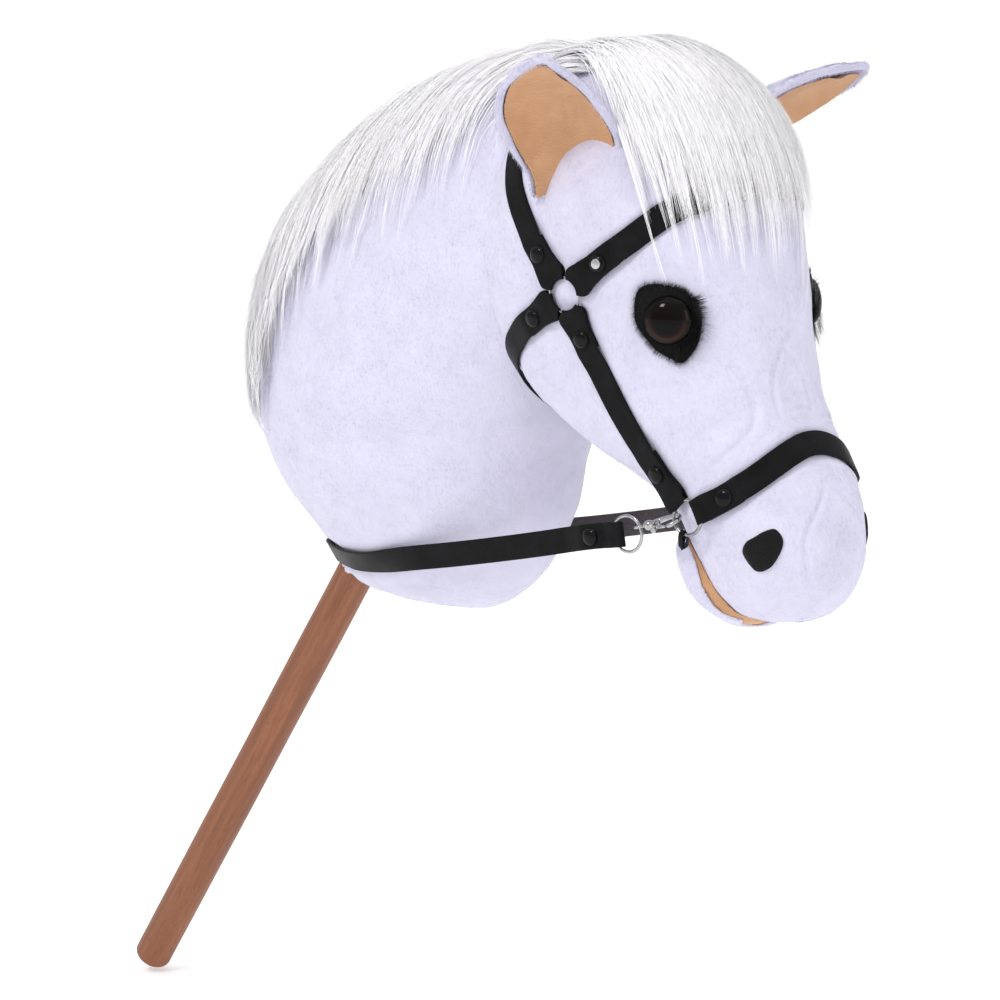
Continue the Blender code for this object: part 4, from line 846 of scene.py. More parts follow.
def bridle_frames():
    head, neck = TREES["head"], TREES["neck"]
    both = [head, neck]
    p, n = snap(head, TEMPLE_AT)
    temple = Ring(p + n * (LIFT + STRAP_T / 2 + TEMPLE_WIRE + 0.0006 + STRAP_T / 2), n, TEMPLE_RING_R, TEMPLE_WIRE, 1.0, 0.0001)
    line = unit(HOOK_LINE)
    facing = np.array([0.0, -1.0, 0.0])
    facing = unit(facing - line * (facing @ line))
    bit = Ring(BIT_RING_AT, facing, BIT_RING_R, BIT_WIRE, 0.15)
    eye_at = bit.at + in_plane(facing, BIT_HOLD) * BIT_RING_R - line * HOOK_LENGTH
    split = Ring(eye_at - in_plane(facing, SPLIT_HOLD) * SPLIT_RING_R, facing, SPLIT_RING_R, SPLIT_WIRE, 0.0, 0.0004)

    def surface(points, tree):
        got = [snap(tree, q) for q in points]
        return [g[0] for g in got], [g[1] for g in got]

    def over(points, ring, tree=head):
        a, m = surface(points, tree)
        f, g = snap(head, ring.at)
        half_p, half_n = [f] + a, [g] + m
        rest_p = [flip(q) for q in half_p[:-1]][::-1]
        rest_n = [flip(q) for q in half_n[:-1]][::-1]
        last = half_n[-1]
        last = unit([last[0], 0, last[2]])
        return Path(half_p + rest_p, half_n[:-1] + [last] + rest_n)

    def hung(points, normals, ring):
        a = [ring.at - ring.normal * (ring.loop + LIFT + STRAP_T / 2)] + [np.array(q) for q in points]
        m = [ring.normal] + [unit(q) for q in normals]
        return Path(a + [flip(q) for q in a[:-1]][::-1], m + [flip(q) for q in m[:-1]][::-1])

    runs = {
        "crown_strap": (
            over([(0.479, -0.084, 0.553), (0.467, -0.083, 0.567), (0.456, -0.080, 0.582), (0.446, -0.074, 0.601), (0.440, -0.064, 0.625), (0.437, -0.042, 0.652), (0.436, 0.0, 0.670)], temple),
            temple, temple.mirrored(), 0.028, 0.028),
        "browband": (
            over([(0.519, -0.080, 0.553), (0.534, -0.075, 0.565), (0.546, -0.068, 0.576), (0.556, -0.060, 0.585), (0.565, -0.045, 0.592), (0.572, -0.024, 0.596), (0.575, 0.0, 0.598)], temple),
            temple, temple.mirrored(), 0.032, 0.032),
        "throatlatch": (
            over([(0.471, -0.081, 0.517), (0.455, -0.075, 0.506), (0.441, -0.065, 0.493), (0.436, -0.052, 0.478), (0.440, -0.037, 0.463), (0.448, -0.020, 0.450), (0.452, 0.0, 0.442)], temple),
            temple, temple.mirrored(), 0.028, 0.028),
        "noseband": (
            over([(0.599, -0.056, 0.4145), (0.613, -0.047, 0.426), (0.620, -0.033, 0.436), (0.622, -0.016, 0.443), (0.622, 0.0, 0.446)], bit),
            bit, bit.mirrored(), 0.026, 0.026),
        "chin_strap": (
            hung([(0.5748, -0.0565, 0.3872), (0.5690, -0.0480, 0.3850), (0.5590, -0.0390, 0.3850), (0.5490, -0.0290, 0.3875), (0.5405, -0.0160, 0.3920), (0.5365, 0.0, 0.3940)],
                 [(-0.25, -0.95, -0.20), (-0.45, -0.85, -0.25), (-0.60, -0.72, -0.30), (-0.75, -0.55, -0.35), (-0.85, -0.30, -0.42), (-0.90, 0.0, -0.44)], bit),
            bit, bit.mirrored(), 0.0105, 0.0105),
    }
    cheek_p, cheek_n = surface([(0.507, -0.080, 0.508), (0.516, -0.077, 0.489), (0.526, -0.072, 0.469), (0.536, -0.067, 0.450), (0.547, -0.063, 0.436), (0.559, -0.058, 0.420)], head)
    a, b = snap(head, temple.at), snap(head, bit.at)
    cheek_p, cheek_n = [a[0]] + cheek_p + [b[0]], [a[1]] + cheek_n + [b[1]]
    runs["right_cheekpiece"] = (Path(cheek_p, cheek_n), temple, bit, 0.026, 0.036)
    runs["left_cheekpiece"] = (Path([flip(q) for q in cheek_p], [flip(q) for q in cheek_n]), temple.mirrored(), bit.mirrored(), 0.026, 0.036)

    lain = [(0.300, -0.0640, 0.3360), (0.275, -0.0550, 0.3325), (0.250, -0.0430, 0.3300), (0.228, -0.0290, 0.3285), (0.212, -0.0150, 0.3280), (0.2045, 0.0, 0.3280)]
    free = [split.at, (0.500, -0.0665, 0.3810), (0.460, -0.0680, 0.3715), (0.420, -0.0690, 0.3625), (0.380, -0.0695, 0.3540), (0.340, -0.0690, 0.3460)]
    rein_p, rein_n = [], []
    for q in free:
        rein_p.append(np.array(q) - facing * (LIFT + STRAP_T / 2) * (0 if q is split.at else 1))
        rein_n.append(facing)
    rein_p[0] = split.at - facing * (split.loop + LIFT + STRAP_T / 2)
    for q in lain:
        c, m = snap(neck, q)
        rein_p.append(c)
        rein_n.append(m)
    rein_n[-1] = unit([rein_n[-1][0], 0, rein_n[-1][2]])
    rein_p += [flip(q) for q in rein_p[:-1]][::-1]
    rein_n += [flip(q) for q in rein_n[:-1]][::-1]
    runs["rein"] = (Path(rein_p, rein_n), split, split.mirrored(), 0.026, 0.026)

    stud_names = {
        "crown_strap": ("right_crown_stud", "left_crown_stud"),
        "browband": ("right_brow_stud", "left_brow_stud"),
        "throatlatch": ("right_throat_stud", "left_throat_stud"),
        "noseband": ("right_nose_stud", "left_nose_stud"),
        "chin_strap": (),
        "right_cheekpiece": ("right_upper_cheek_stud", "right_lower_cheek_stud"),
        "left_cheekpiece": ("left_upper_cheek_stud", "left_lower_cheek_stud"),
        "rein": ("right_rein_stud", "left_rein_stud"),
    }
    frames, studs = {}, {}
    for name, (path, first, last, fa, fb) in runs.items():
        narrow = name == "chin_strap"
        width, thick = (CHIN_W, CHIN_T) if narrow else (STRAP_W, STRAP_T)
        ends = (0.0150 if name in ("crown_strap", "browband") else 0.0130, min(width, BIT_END_W))
        reach = {"noseband": 0.0026, "rein": 0.0055}.get(name, 0.0)
        pts, nrm, wid, bends, pairs = strap(path, first, last, fa, fb, width, ends, 0.015 if name == "rein" else 0.013, thick, reach)
        # the throat strap sinks into the soft neck behind the jaw
        pts = clear_of([head] if name == "throatlatch" else both, pts, nrm, wid, pairs)
        frames[name] = (np.array(pts), np.array(nrm), np.array(wid), bends, thick)
        at = [((pts[j] + pts[k]) / 2, -unit(nrm[j] + nrm[k])) for j, k in ((1, 2), (-2, -3))]
        for label, place in zip(stud_names[name], at):
            studs[label] = place
    return frames, studs, temple, bit, split, line, facing


BANDS, STUDS, TEMPLE, BIT, SPLIT, LINE, FACING = bridle_frames()


def band_section(width, thick):
    """A strap's section, rounded at its edges: across and through."""
    h, r, out = thick / 2, min(0.00055, thick * 0.32), []
    e = width / 2 - r
    for cx, cy, a0, step in ((e, h - r, 0, 0), (-e, h - r, 90, 1), (-e, -h + r, 180, 0), (e, -h + r, 270, 1)):
        for k in range(4):
            a = math.radians(a0 + 30 * k)
            out.append((cx + r * math.cos(a), cy + r * math.sin(a)))
        if step == 0:
            # points along the flat face, so that it can bend with a ring
            for f in np.linspace(1, -1, 9)[1:-1]:
                out.append(((e if a0 == 0 else -e) * f, cy + (r if a0 == 0 else -r)))
    return np.array(out)


def band(points, normals, widths, bends, thick, step=0.0016):
    """A strap swept finely through its frames; where it has a bend it follows
    the ring's circle."""
    amount = np.array([b[0] for b in bends])
    out_dir = np.array([b[1] for b in bends])
    radius = np.array([b[2] for b in bends])
    away = np.array([b[3] for b in bends])
    thin = np.array([b[4] for b in bends])
    rows = np.hstack([points, normals, widths[:, None], out_dir, radius[:, None], away[:, None], amount[:, None], thin[:, None]])
    smooth = catmull(rows, (len(rows) - 1) * 14 + 1)
    s = np.concatenate([[0], np.cumsum(np.linalg.norm(np.diff(smooth[:, :3], axis=0), axis=1))])
    turn = np.concatenate([[0], np.cumsum(np.arccos(np.clip(np.sum(units(smooth[1:, 3:6]) * units(smooth[:-1, 3:6]), axis=1), -1, 1)))])
    measure = s / step + turn / 0.16
    pick = np.linspace(0, measure[-1], int(measure[-1]) + 2)
    fine = np.stack([np.interp(pick, measure, smooth[:, k]) for k in range(smooth.shape[1])], 1)
    p, n, w = fine[:, :3], units(fine[:, 3:6]), fine[:, 6]
    out, radius, away, amount = units(fine[:, 7:10]), fine[:, 10], fine[:, 11], np.clip(fine[:, 12], 0, 1)
    t = units(np.gradient(p, axis=0))
    side = units(np.cross(t, n))
    n = units(np.cross(side, t))
    verts = []
    for i in range(len(p)):
        for x, y in band_section(w[i], float(np.clip(fine[i, 13], 0.0006, thick))):
            c, m = p[i] + side[i] * x, n[i]
            if amount[i] > 1e-3:
                turned = out[i] * math.cos(x / radius[i]) + side[i] * math.sin(x / radius[i])
                c = p[i] + side[i] * x * (1 - amount[i]) + (turned - out[i]) * (radius[i] + away[i]) * amount[i]
                m = n[i] + (turned - out[i]) * (n[i] @ out[i]) * amount[i]
            verts.append(c + m * y)
    count = len(verts) // len(p)
    faces = []
    for i in range(len(p) - 1):
        for k in range(count):
            j = (k + 1) % count
            faces.append((i * count + k, i * count + j, (i + 1) * count + j, (i + 1) * count + k))
    faces.append(tuple(range(count - 1, -1, -1)))
    faces.append(tuple((len(p) - 1) * count + k for k in range(count)))
    return verts, faces


def make_bridle():
    for name, (p, n, w, bends, thick) in BANDS.items():
        verts, faces = band(p, n, w, bends, thick)
        obj = piece(name + "_leather", verts, faces, LOOKS["leather"], name, "leatherette", angle=50)
        if name == "rein":
            # the rein's inner face is the fabric backing
            obj.data.materials.append(LOOKS["leather_inner"])
            mats = np.zeros(len(obj.data.polygons), np.int32)
            nrm = np.empty(len(mats) * 3, np.float32)
            mid = np.empty(len(mats) * 3, np.float32)
            obj.data.polygons.foreach_get("normal", nrm)
            obj.data.polygons.foreach_get("center", mid)
            nrm, mid = nrm.reshape(-1, 3), mid.reshape(-1, 3)
            inward = -nrm[:, 1] * np.sign(mid[:, 1])
            mats[(inward > 0.6) & (mid[:, 0] > 0.26)] = 1
            obj.data.polygons.foreach_set("material_index", mats)
    top = STRAP_T * 1.5 + FOLD_GAP + 0.0006
    for name, (at, normal) in STUDS.items():
        dome = [(STUD_R * math.sin(a), top + 0.00035 + 0.0019 * math.cos(a)) for a in np.linspace(0, math.pi / 2, 11)]
        edge = [(STUD_R + 0.00025, top + 0.0002), (STUD_R + 0.0002, top - 0.00005), (STUD_R * 0.92, top - 0.0001)]
        back = -STRAP_T / 2 - 0.0006
        stem = [(0.0012, top - 0.0001), (0.0012, back), (0.0030, back), (0.0030, back - 0.0005), (0, back - 0.0005)]
        dome[0] = (0.0, dome[0][1])
        obj = piece(name + "_cap", *lathe(dome + edge + stem, at, normal, 40), LOOKS["stud"], name, "black_stud", angle=50)
        if "brow" in name:
            # painted reflection: bright metal on the centre of these two stands in for the light their domes reflect
            obj.data.materials.append(LOOKS["stud_painted_reflection"])
            centre, axis = Vector(at), Vector(normal)
            for poly in obj.data.polygons:
                d = poly.center - centre
                off = (d - axis * d.dot(axis)).length
                if off < STUD_R * 0.60 and d.dot(axis) > top:
                    poly.material_index = 1
    for ring, name, node in ((TEMPLE, "temple_ring", "ring_metal"), (BIT, "bit_ring", "ring_metal")):
        for r, side in ((ring, "right"), (ring.mirrored(), "left")):
            piece(f"{side}_{name}_wire", *torus(r.at, r.normal, r.radius, r.wire), LOOKS[node], f"{side}_{name}", "dark_ring", f"{side}_{name}_body")
    for r, side in ((SPLIT, "right"), (SPLIT.mirrored(), "left")):
        split_coil(r, side)


def split_coil(ring, side):
    """A split ring: nearly two turns of flattened wire lying on each other."""
    n = ring.normal
    u = in_plane(n, math.radians(250))
    v = np.cross(n, u)
    turns, steps, wire = 1.82, 150, ring.wire
    verts, faces = [], []
    for i in range(steps + 1):
        f = i / steps
        a = 2 * math.pi * turns * f
        climb = (f - 0.5) * 2 * wire * 0.52
        out = u * math.cos(a) + v * math.sin(a)
        taper = 0.75 + 0.25 * min(1.0, min(f, 1 - f) * 40)
        for k in range(12):
            b = 2 * math.pi * k / 12
            verts.append(ring.at + out * (ring.radius + wire * 0.95 * taper * math.cos(b)) + n * (climb + wire * 0.5 * taper * math.sin(b)))
    for i in range(steps):
        for k in range(12):
            j = (k + 1) % 12
            faces.append((i * 12 + k, i * 12 + j, (i + 1) * 12 + j, (i + 1) * 12 + k))
    faces.append(tuple(range(11, -1, -1)))
    faces.append(tuple(steps * 12 + k for k in range(12)))
    piece(f"{side}_split_ring_coil", verts, faces, LOOKS["nickel"], f"{side}_split_ring", "nickel", f"{side}_split_ring_body", angle=60)


# ---------------------------------------------------------------------------
# Snap hooks
# ---------------------------------------------------------------------------
def tube(points, radii, squash=1.0, normal=(0, 0, 1), around=14):
    """A round bar swept along a line in a plane, flattened along its normal."""
    points, normal = np.array(points, float), unit(normal)
    t = units(np.gradient(points, axis=0))
    side = units(np.cross(t, normal))
    verts, faces = [], []
    for p, s, r in zip(points, side, radii):
        for k in range(around):
            b = 2 * math.pi * k / around
            verts.append(p + s * (r * math.cos(b)) + normal * (r * squash * math.sin(b)))
    n = len(points)
    for i in range(n - 1):
        for k in range(around):
            j = (k + 1) % around
            faces.append((i * around + k, i * around + j, (i + 1) * around + j, (i + 1) * around + k))
    faces.append(tuple(range(around - 1, -1, -1)))
    faces.append(tuple((n - 1) * around + k for k in range(around)))
    return verts, faces


def merged(parts):
    verts, faces = [], []
    for v, f in parts:
        base = len(verts)
        verts += [np.asarray(q, float) for q in v]
        faces += [tuple(int(k) + base for k in q) for q in f]
    return verts, faces


def cast(name, parts, voxel, smooth, mat, replaces, body):
    """Closed shapes melted into one casting."""
    obj = plain_object(name, *merged(parts))
    outward(obj)
    rounded(obj, voxel, smooth)
    return dress(obj, mat, replaces, body)


def make_hook(side):
    mirror = flip if side == "left" else (lambda v: np.array(v, float))
    at = mirror(SPLIT.at + in_plane(FACING, SPLIT_HOLD) * SPLIT.radius)
    ex, face = mirror(LINE), mirror(FACING)
    wire = unit(np.cross(ex, face))
    if wire[2] < 0:
        wire = -wire
    ey = unit(wire * math.cos(HOOK_ROLL) - face * math.sin(HOOK_ROLL))
    ez = unit(np.cross(ex, ey))

    def spot(x, y, z=0.0):
        return at + ex * x + ey * y + ez * z

    arc = [(CLAW_AT + CLAW_R * math.cos(a), CLAW_R * math.sin(a)) for a in np.radians(np.linspace(112, -92, 12))]
    line = [(0.0095, 0.0002), (0.0145, 0.0030), (0.0195, 0.0045)] + arc
    radii = [0.0021, 0.0018, 0.0015] + [0.0013] * 11 + [0.0011]
    fine = catmull([(*p, r) for p, r in zip(line, radii)], 70)
    claw = tube([spot(x, y) for x, y, _ in fine], fine[:, 2], 1.05, ez)
    shoulder = tube([spot(x, y) for x, y in ((0.0090, -0.0004), (0.0115, -0.0004), (0.0140, 0.0000), (0.0158, 0.0008))], [0.0024, 0.0027, 0.0025, 0.0015], 0.9, ez)
    cheeks = [tube([spot(x, y, z) for x, y in ((0.0105, -0.0012), (0.0130, -0.0018), (0.0150, -0.0022))], [0.0018, 0.0022, 0.0016], 0.35, ez) for z in (-0.0021, 0.0021)]
    barrel = lathe([(0, 0.0052), (0.0022, 0.0052), (0.0028, 0.0056), (0.0031, 0.0062), (0.0031, 0.0086), (0.0027, 0.0092), (0.0024, 0.0100), (0, 0.0102)], at, ex, 32)
    cast(f"{side}_hook_casting", [claw, shoulder, *cheeks, barrel], 0.00022, 3, LOOKS["nickel"], f"{side}_snap_hook", f"{side}_hook_body")

    lever = catmull([(0.0120, -0.0018, 0.0013), (0.0150, -0.0032, 0.0013), (0.0185, -0.0046, 0.0011), (0.0215, -0.0053, 0.0010), (0.0246, -0.0057, 0.0009)], 30)
    bar = tube([spot(x, y) for x, y, _ in lever], lever[:, 2], 0.95, ez)
    stalk = tube([spot(x, y) for x, y in ((0.0165, -0.0038), (0.0165, -0.0060), (0.0164, -0.0076), (0.0164, -0.0084))], [0.0011, 0.0009, 0.0010, 0.0010], 1.0, ez)
    knob = lathe([(0.0019 * math.sin(a), 0.0012 * math.cos(a)) if 0 < k < 8 else (0, 0.0012 * math.cos(a)) for k, a in enumerate(np.linspace(0, math.pi, 9))], spot(0.0164, -0.0084), ey, 20)
    cast(f"{side}_gate_lever", [bar, stalk, knob], 0.00020, 2, LOOKS["nickel"], f"{side}_gate", f"{side}_gate_body")

    pin_at = spot(*GATE_PIN)
    pin = [(0, -0.0030), (0.0009, -0.0029), (0.0011, -0.0027), (0.0007, -0.0025), (0.0007, 0.0025), (0.0011, 0.0027), (0.0009, 0.0029), (0, 0.0030)]
    piece(f"{side}_gate_rivet", *lathe(pin, pin_at, ez, 24), LOOKS["nickel"], f"{side}_gate_pin", "nickel", f"{side}_hook_body", angle=50)

    loop = torus(at, wire, 0.0030, 0.0009, 48, 14)
    post = lathe([(0, 0.0030), (0.0011, 0.0032), (0.0010, 0.0068), (0.0018, 0.0069), (0.0018, 0.0083), (0, 0.0084)], at, ex, 20)
    cast(f"{side}_swivel_eye_casting", [loop, post], 0.00018, 2, LOOKS["nickel"], f"{side}_swivel_eye", "toy")


# ---------------------------------------------------------------------------
# Plush skins
# ---------------------------------------------------------------------------
CREASES = [
    # photograph's pixels, depth and half width in metres
    ([(731, 363), (743, 377), (752, 399), (755, 413), (754, 426), (743, 440), (728, 454), (705, 476)], 0.0013, 0.0022),
    ([(762, 318), (773, 333), (788, 352), (800, 372), (809, 398), (815, 424)], 0.0008, 0.0016),
]
MUZZLE_SEAM = ([(826, 478), (819, 505), (806, 536), (806, 566), (811, 592)], 0.0011, 0.0016)
THROAT_CREASE = ([(600, 463), (620, 470), (640, 482)], 0.0008, 0.0020)


def pressed(points, normals):
    """How far the straps press the skin in, and push it out beside them."""
    out = np.zeros(len(points))
    for name, (p, n, w, _, _) in BANDS.items():
        if name in ("rein", "chin_strap"):
            continue
        run = p[12:-12] if len(p) > 30 else p[6:-6]
        fine = catmull(run, len(run) * 3)
        d, _ = distance_to_line(points, fine)
        out += -0.0007 * np.exp(-((d / 0.0075) ** 4)) + 0.0011 * np.exp(-(((d - 0.0125) / 0.0042) ** 2))
    return out


def shaped_skin(name, rows, rings, around, voxel, seed):
    obj = plain_object(name, *loft(rows, rings, around))
    outward(obj)
    return rounded(obj, voxel, 6, 1)


def make_skins():
    head = shaped_skin("head_plush", HEAD, 100, 104, 0.0030, 1)
    p, n = points_of(head.data), normals_of(head.data)
    move = waves(p, 3, 0.055) * 0.0007 + waves(p, 4, 0.016) * 0.00022 + pressed(p, n)
    for pixels, depth, half in CREASES + [MUZZLE_SEAM]:
        line = along([seen(*q) for q in pixels], 24)
        for side in (1, -1):
            run = line * np.array([1, side, 1])
            d, w = distance_to_line(p, run)
            fade = np.clip(np.minimum(w, 1 - w) * 6, 0, 1)
            move -= depth * fade * np.exp(-((d / half) ** 2))
            move += depth * 0.45 * fade * np.exp(-(((d - half * 2.6) / (half * 1.5)) ** 2))
    put_points(head.data, p + n * move[:, None])
    dress(head, LOOKS["plush"], "head_skin")

    neck = shaped_skin("neck_plush", NECK, 100, 104, 0.0034, 2)
    p, n = points_of(neck.data), normals_of(neck.data)
    move = waves(p, 5, 0.075) * 0.0009 + waves(p, 6, 0.020) * 0.00025
    # the rein draws the plush in round the neck's base, and the stick gathers it
    d, _ = distance_to_line(p, catmull(BANDS["rein"][0][16:-16], 80))
    move += -0.0010 * np.exp(-((d / 0.009) ** 2)) + 0.0010 * np.exp(-(((d - 0.015) / 0.005) ** 2))
    axis = np.array([math.sin(STICK_LEAN), 0, math.cos(STICK_LEAN)])
    off = p - np.outer(p @ axis, axis)
    rad = np.linalg.norm(off, axis=1)
    ang = np.arctan2(off[:, 1], off[:, 0] - off[:, 2])
    gather = np.exp(-(((rad - STICK_R) / 0.018) ** 2)) * (p[:, 2] < 0.40)
    move += gather * np.sin(ang * 9) * 0.0010
    put_points(neck.data, p + n * move[:, None])
    dress(neck, LOOKS["plush"], "neck_skin")
    return head, neck


def make_mouth():
    jaw = plain_object("lower_lip_plush", *loft(LOWER_LIP, 40, 48))
    outward(jaw)
    # the lining shows as a narrow line at the corner of the mouth, wider below, and goes under the lip in front
    def opening(name, inset):
        obj = outward(plain_object(name, *loft(HEAD, 60, 64, inset)))
        p, n = points_of(obj.data), normals_of(obj.data)
        closing = 0.0062 * smoothstep(0.338, 0.388, p[:, 2]) + 0.0044 * (1 - smoothstep(0.005, 0.017, np.abs(p[:, 1]))) * (p[:, 2] < 0.36)
        put_points(obj.data, p + n * (0.0012 - closing)[:, None])
        return obj

    boolean(jaw, "DIFFERENCE", opening("space", -0.0070))
    rounded(jaw, 0.0012, 12)
    p, n = points_of(jaw.data), normals_of(jaw.data)
    put_points(jaw.data, p + n * (0.0004 + waves(p, 8, 0.02) * 0.0004)[:, None])
    dress(jaw, LOOKS["plush"], "lower_lip")
    lining = plain_object("mouth_lining_cloth", *loft(LOWER_LIP, 40, 48, 0.0020))
    outward(lining)
    wide = opening("wide", -0.0074)
    near = outward(plain_object("near", *loft(HEAD, 60, 64, -0.0004)))
    boolean(lining, "INTERSECT", wide)
    boolean(lining, "DIFFERENCE", near)
    rounded(lining, 0.0010, 3)
    p, n = points_of(lining.data), normals_of(lining.data)
    put_points(lining.data, p + n * (waves(p, 9, 0.014) * 0.0003)[:, None])
    dress(lining, LOOKS["tan_mouth"], "mouth_lining")
    return jaw


def ear_rim(at, across, up, out, both):
    """The soft rolled edge of an ear, from one side over the tip to the other."""
    fine = catmull(np.array(EAR_EDGES), 97)
    line = []
    for side, ts in ((1, np.linspace(0.02, 1.0, 40)), (2, np.linspace(1.0, 0.02, 40))):
        for t in ts:
            line.append((np.interp(t, fine[:, 0], fine[:, side]) / 1000, t))
    if not both:
        line = line[30:]
    pts = np.array([at + across * x + up * (t * EAR_LENGTH) + out * (0.010 * t * t - 0.0006) for x, t in line])
    pts = along(pts, 90)
    k = np.linspace(0, 1, len(pts))
    return tube(pts, 0.0029 * np.clip(np.minimum(k, 1 - k) * 9, 0.25, 1) ** 0.6, 1.0, out, 12)


def ear_leaf(at, across, up, out, low, high, margin, t0, t1, cup, rows, cols, shift=0.0):
    fine = catmull(np.array(EAR_EDGES), 97)
    verts, faces = [], []
    for face, h in enumerate((low, high)):
        for i in range(rows + 1):
            t = t0 + (t1 - t0) * i / rows
            left = np.interp(t, fine[:, 0], fine[:, 1]) / 1000
            right = np.interp(t, fine[:, 0], fine[:, 2]) / 1000
            mid, half = (left + right) / 2, max((right - left) / 2 - margin, 0.001)
            for k in range(cols + 1):
                v = -1 + 2 * k / cols
                x = mid + shift + half * v
                depth = -cup * (1 - v * v) * (1 - 0.6 * max(t, 0) ** 2) * (half / 0.033)
                lean = 0.010 * max(t, 0) ** 2
                thin = 1.0 - 0.45 * v * v
                verts.append(at + across * x + up * (t * EAR_LENGTH) + out * (depth + lean + h * thin))
    size = (rows + 1) * (cols + 1)
    for i in range(rows):
        for k in range(cols):
            a = i * (cols + 1) + k
            quad = (a, a + 1, a + cols + 2, a + cols + 1)
            faces.append(quad[::-1])
            faces.append(tuple(q + size for q in quad))
    rim = (
        [k for k in range(cols + 1)]
        + [i * (cols + 1) + cols for i in range(1, rows + 1)]
        + [rows * (cols + 1) + k for k in range(cols - 1, -1, -1)]
        + [i * (cols + 1) for i in range(rows - 1, 0, -1)]
    )
    for a, b in zip(rim, rim[1:] + rim[:1]):
        faces.append((a, b, b + size, a + size))
    return verts, faces


EARS = {
    "right": ((0.494, -0.0790, 0.606), (0.7071, 0.7071, 0.0), (0.30, -0.30, 0.905)),
    "left": ((0.500, 0.0770, 0.6225), (0.60, -0.60, 0.50), (0.42, 0.72, 0.63)),
}


def ear_axes(name):
    at, across, up = EARS[name]
    at, up = np.array(at), unit(up)
    across = np.array(across)
    across = unit(across - up * (across @ up))
    out = unit(np.cross(across, up) if name == "right" else np.cross(up, across))
    if out[0] < 0:
        out = -out
    return at, across, up, out, 0.017 if name == "right" else 0.011


def make_ears():
    ears = []
    for name in EARS:
        at, across, up, out, cup = ear_axes(name)
        leaf = ear_leaf(at, across, up, out, -0.0048, -0.0004, 0.0, -0.2, 1.0, cup, 44, 36)
        outer = plain_object(f"{name}_ear_plush", *merged([leaf, ear_rim(at, across, up, out, name == "right")]))
        outward(outer)
        rounded(outer, 0.0011, 4)
        p, n = points_of(outer.data), normals_of(outer.data)
        put_points(outer.data, p + n * (waves(p, 11, 0.03) * 0.0004)[:, None])
        dress(outer, LOOKS["plush"], f"{name}_ear")
        inner = plain_object(f"{name}_ear_lining_cloth", *ear_leaf(at, across, up, out, 0.0002, 0.0022, 0.0032 if name == "right" else 0.0052, -0.2, 0.945, cup, 60, 48, 0.0 if name == "right" else -0.0040))
        outward(inner)
        rounded(inner, 0.0008, 3)
        p, n = points_of(inner.data), normals_of(inner.data)
        # soft folds up the cup of the ear
        x, t = (p - at) @ across, (p - at) @ up / EAR_LENGTH
        fold = np.exp(-(((x - 0.004 + 0.012 * t) / 0.0035) ** 2)) * smoothstep(0.1, 0.5, t) * 0.0022
        fold += np.exp(-(((x + 0.012 - 0.004 * t) / 0.0050) ** 2)) * smoothstep(0.3, 0.6, t) * 0.0012
        put_points(inner.data, p + out * (fold + waves(p, 12, 0.022) * 0.00035)[:, None])
        dress(inner, LOOKS["tan_" + name], f"{name}_ear_lining")
        ears.append(outer)
    return ears


# ---------------------------------------------------------------------------
# Face
# ---------------------------------------------------------------------------
def skin_frame(tree, at, side):
    p, n = snap(tree, at)
    across = unit(np.cross([0, 0, 1.0], n)) * (-1 if side > 0 else 1)
    up = unit(np.cross(n, across)) * (1 if np.cross(n, across)[2] > 0 else -1)
    return p, n, across, up


def pad_outline(outline, count):
    outline = np.array(outline) / 1000
    closed = np.vstack([outline, outline[:1]])
    fine = catmull(np.vstack([outline[-1:], closed, outline[1:2]]), (len(outline) + 2) * 12 + 1)[12:-12]
    s = np.concatenate([[0], np.cumsum(np.linalg.norm(np.diff(fine, axis=0), axis=1))])
    pick = np.linspace(0, s[-1], count, endpoint=False)
    return np.stack([np.interp(pick, s, fine[:, k]) for k in range(2)], 1)


def pad(tree, at, side, outline, low, high, rings=14, count=90, crown=0.0006):
    """A thin pad on the skin with a rounded edge."""
    p, n, across, up = skin_frame(tree, at, side)
    outline = pad_outline(outline, count)
    verts, faces, layers = [], [], []
    for top in (False, True):
        block = []
        for r in range(rings + 1):
            f = math.sin(math.pi / 2 * r / rings) if top else r / rings
            ring = []
            pts = [(0.0, 0.0)] if r == 0 else [(x * f, y * f) for x, y in outline]
            edge = math.sqrt(max(1 - f**6, 0.0))
            for x, y in pts:
                q, m = snap(tree, p + across * x + up * y)
                h = low + (high - low) * edge + crown * (1 - f * f) if top else low
                ring.append(len(verts))
                verts.append(q + m * h)
            block.append(ring)
        layers.append(block)
    for block, turn in ((layers[0], True), (layers[1], False)):
        for a, b in zip(block, block[1:]):
            for k in range(count):
                j = (k + 1) % count
                f = (a[0], b[k], b[j]) if len(a) == 1 else (a[k], b[k], b[j], a[j])
                faces.append(f[::-1] if turn else f)
    for k in range(count):
        j = (k + 1) % count
        faces.append((layers[0][-1][k], layers[1][-1][k], layers[1][-1][j], layers[0][-1][j]))
    return verts, faces


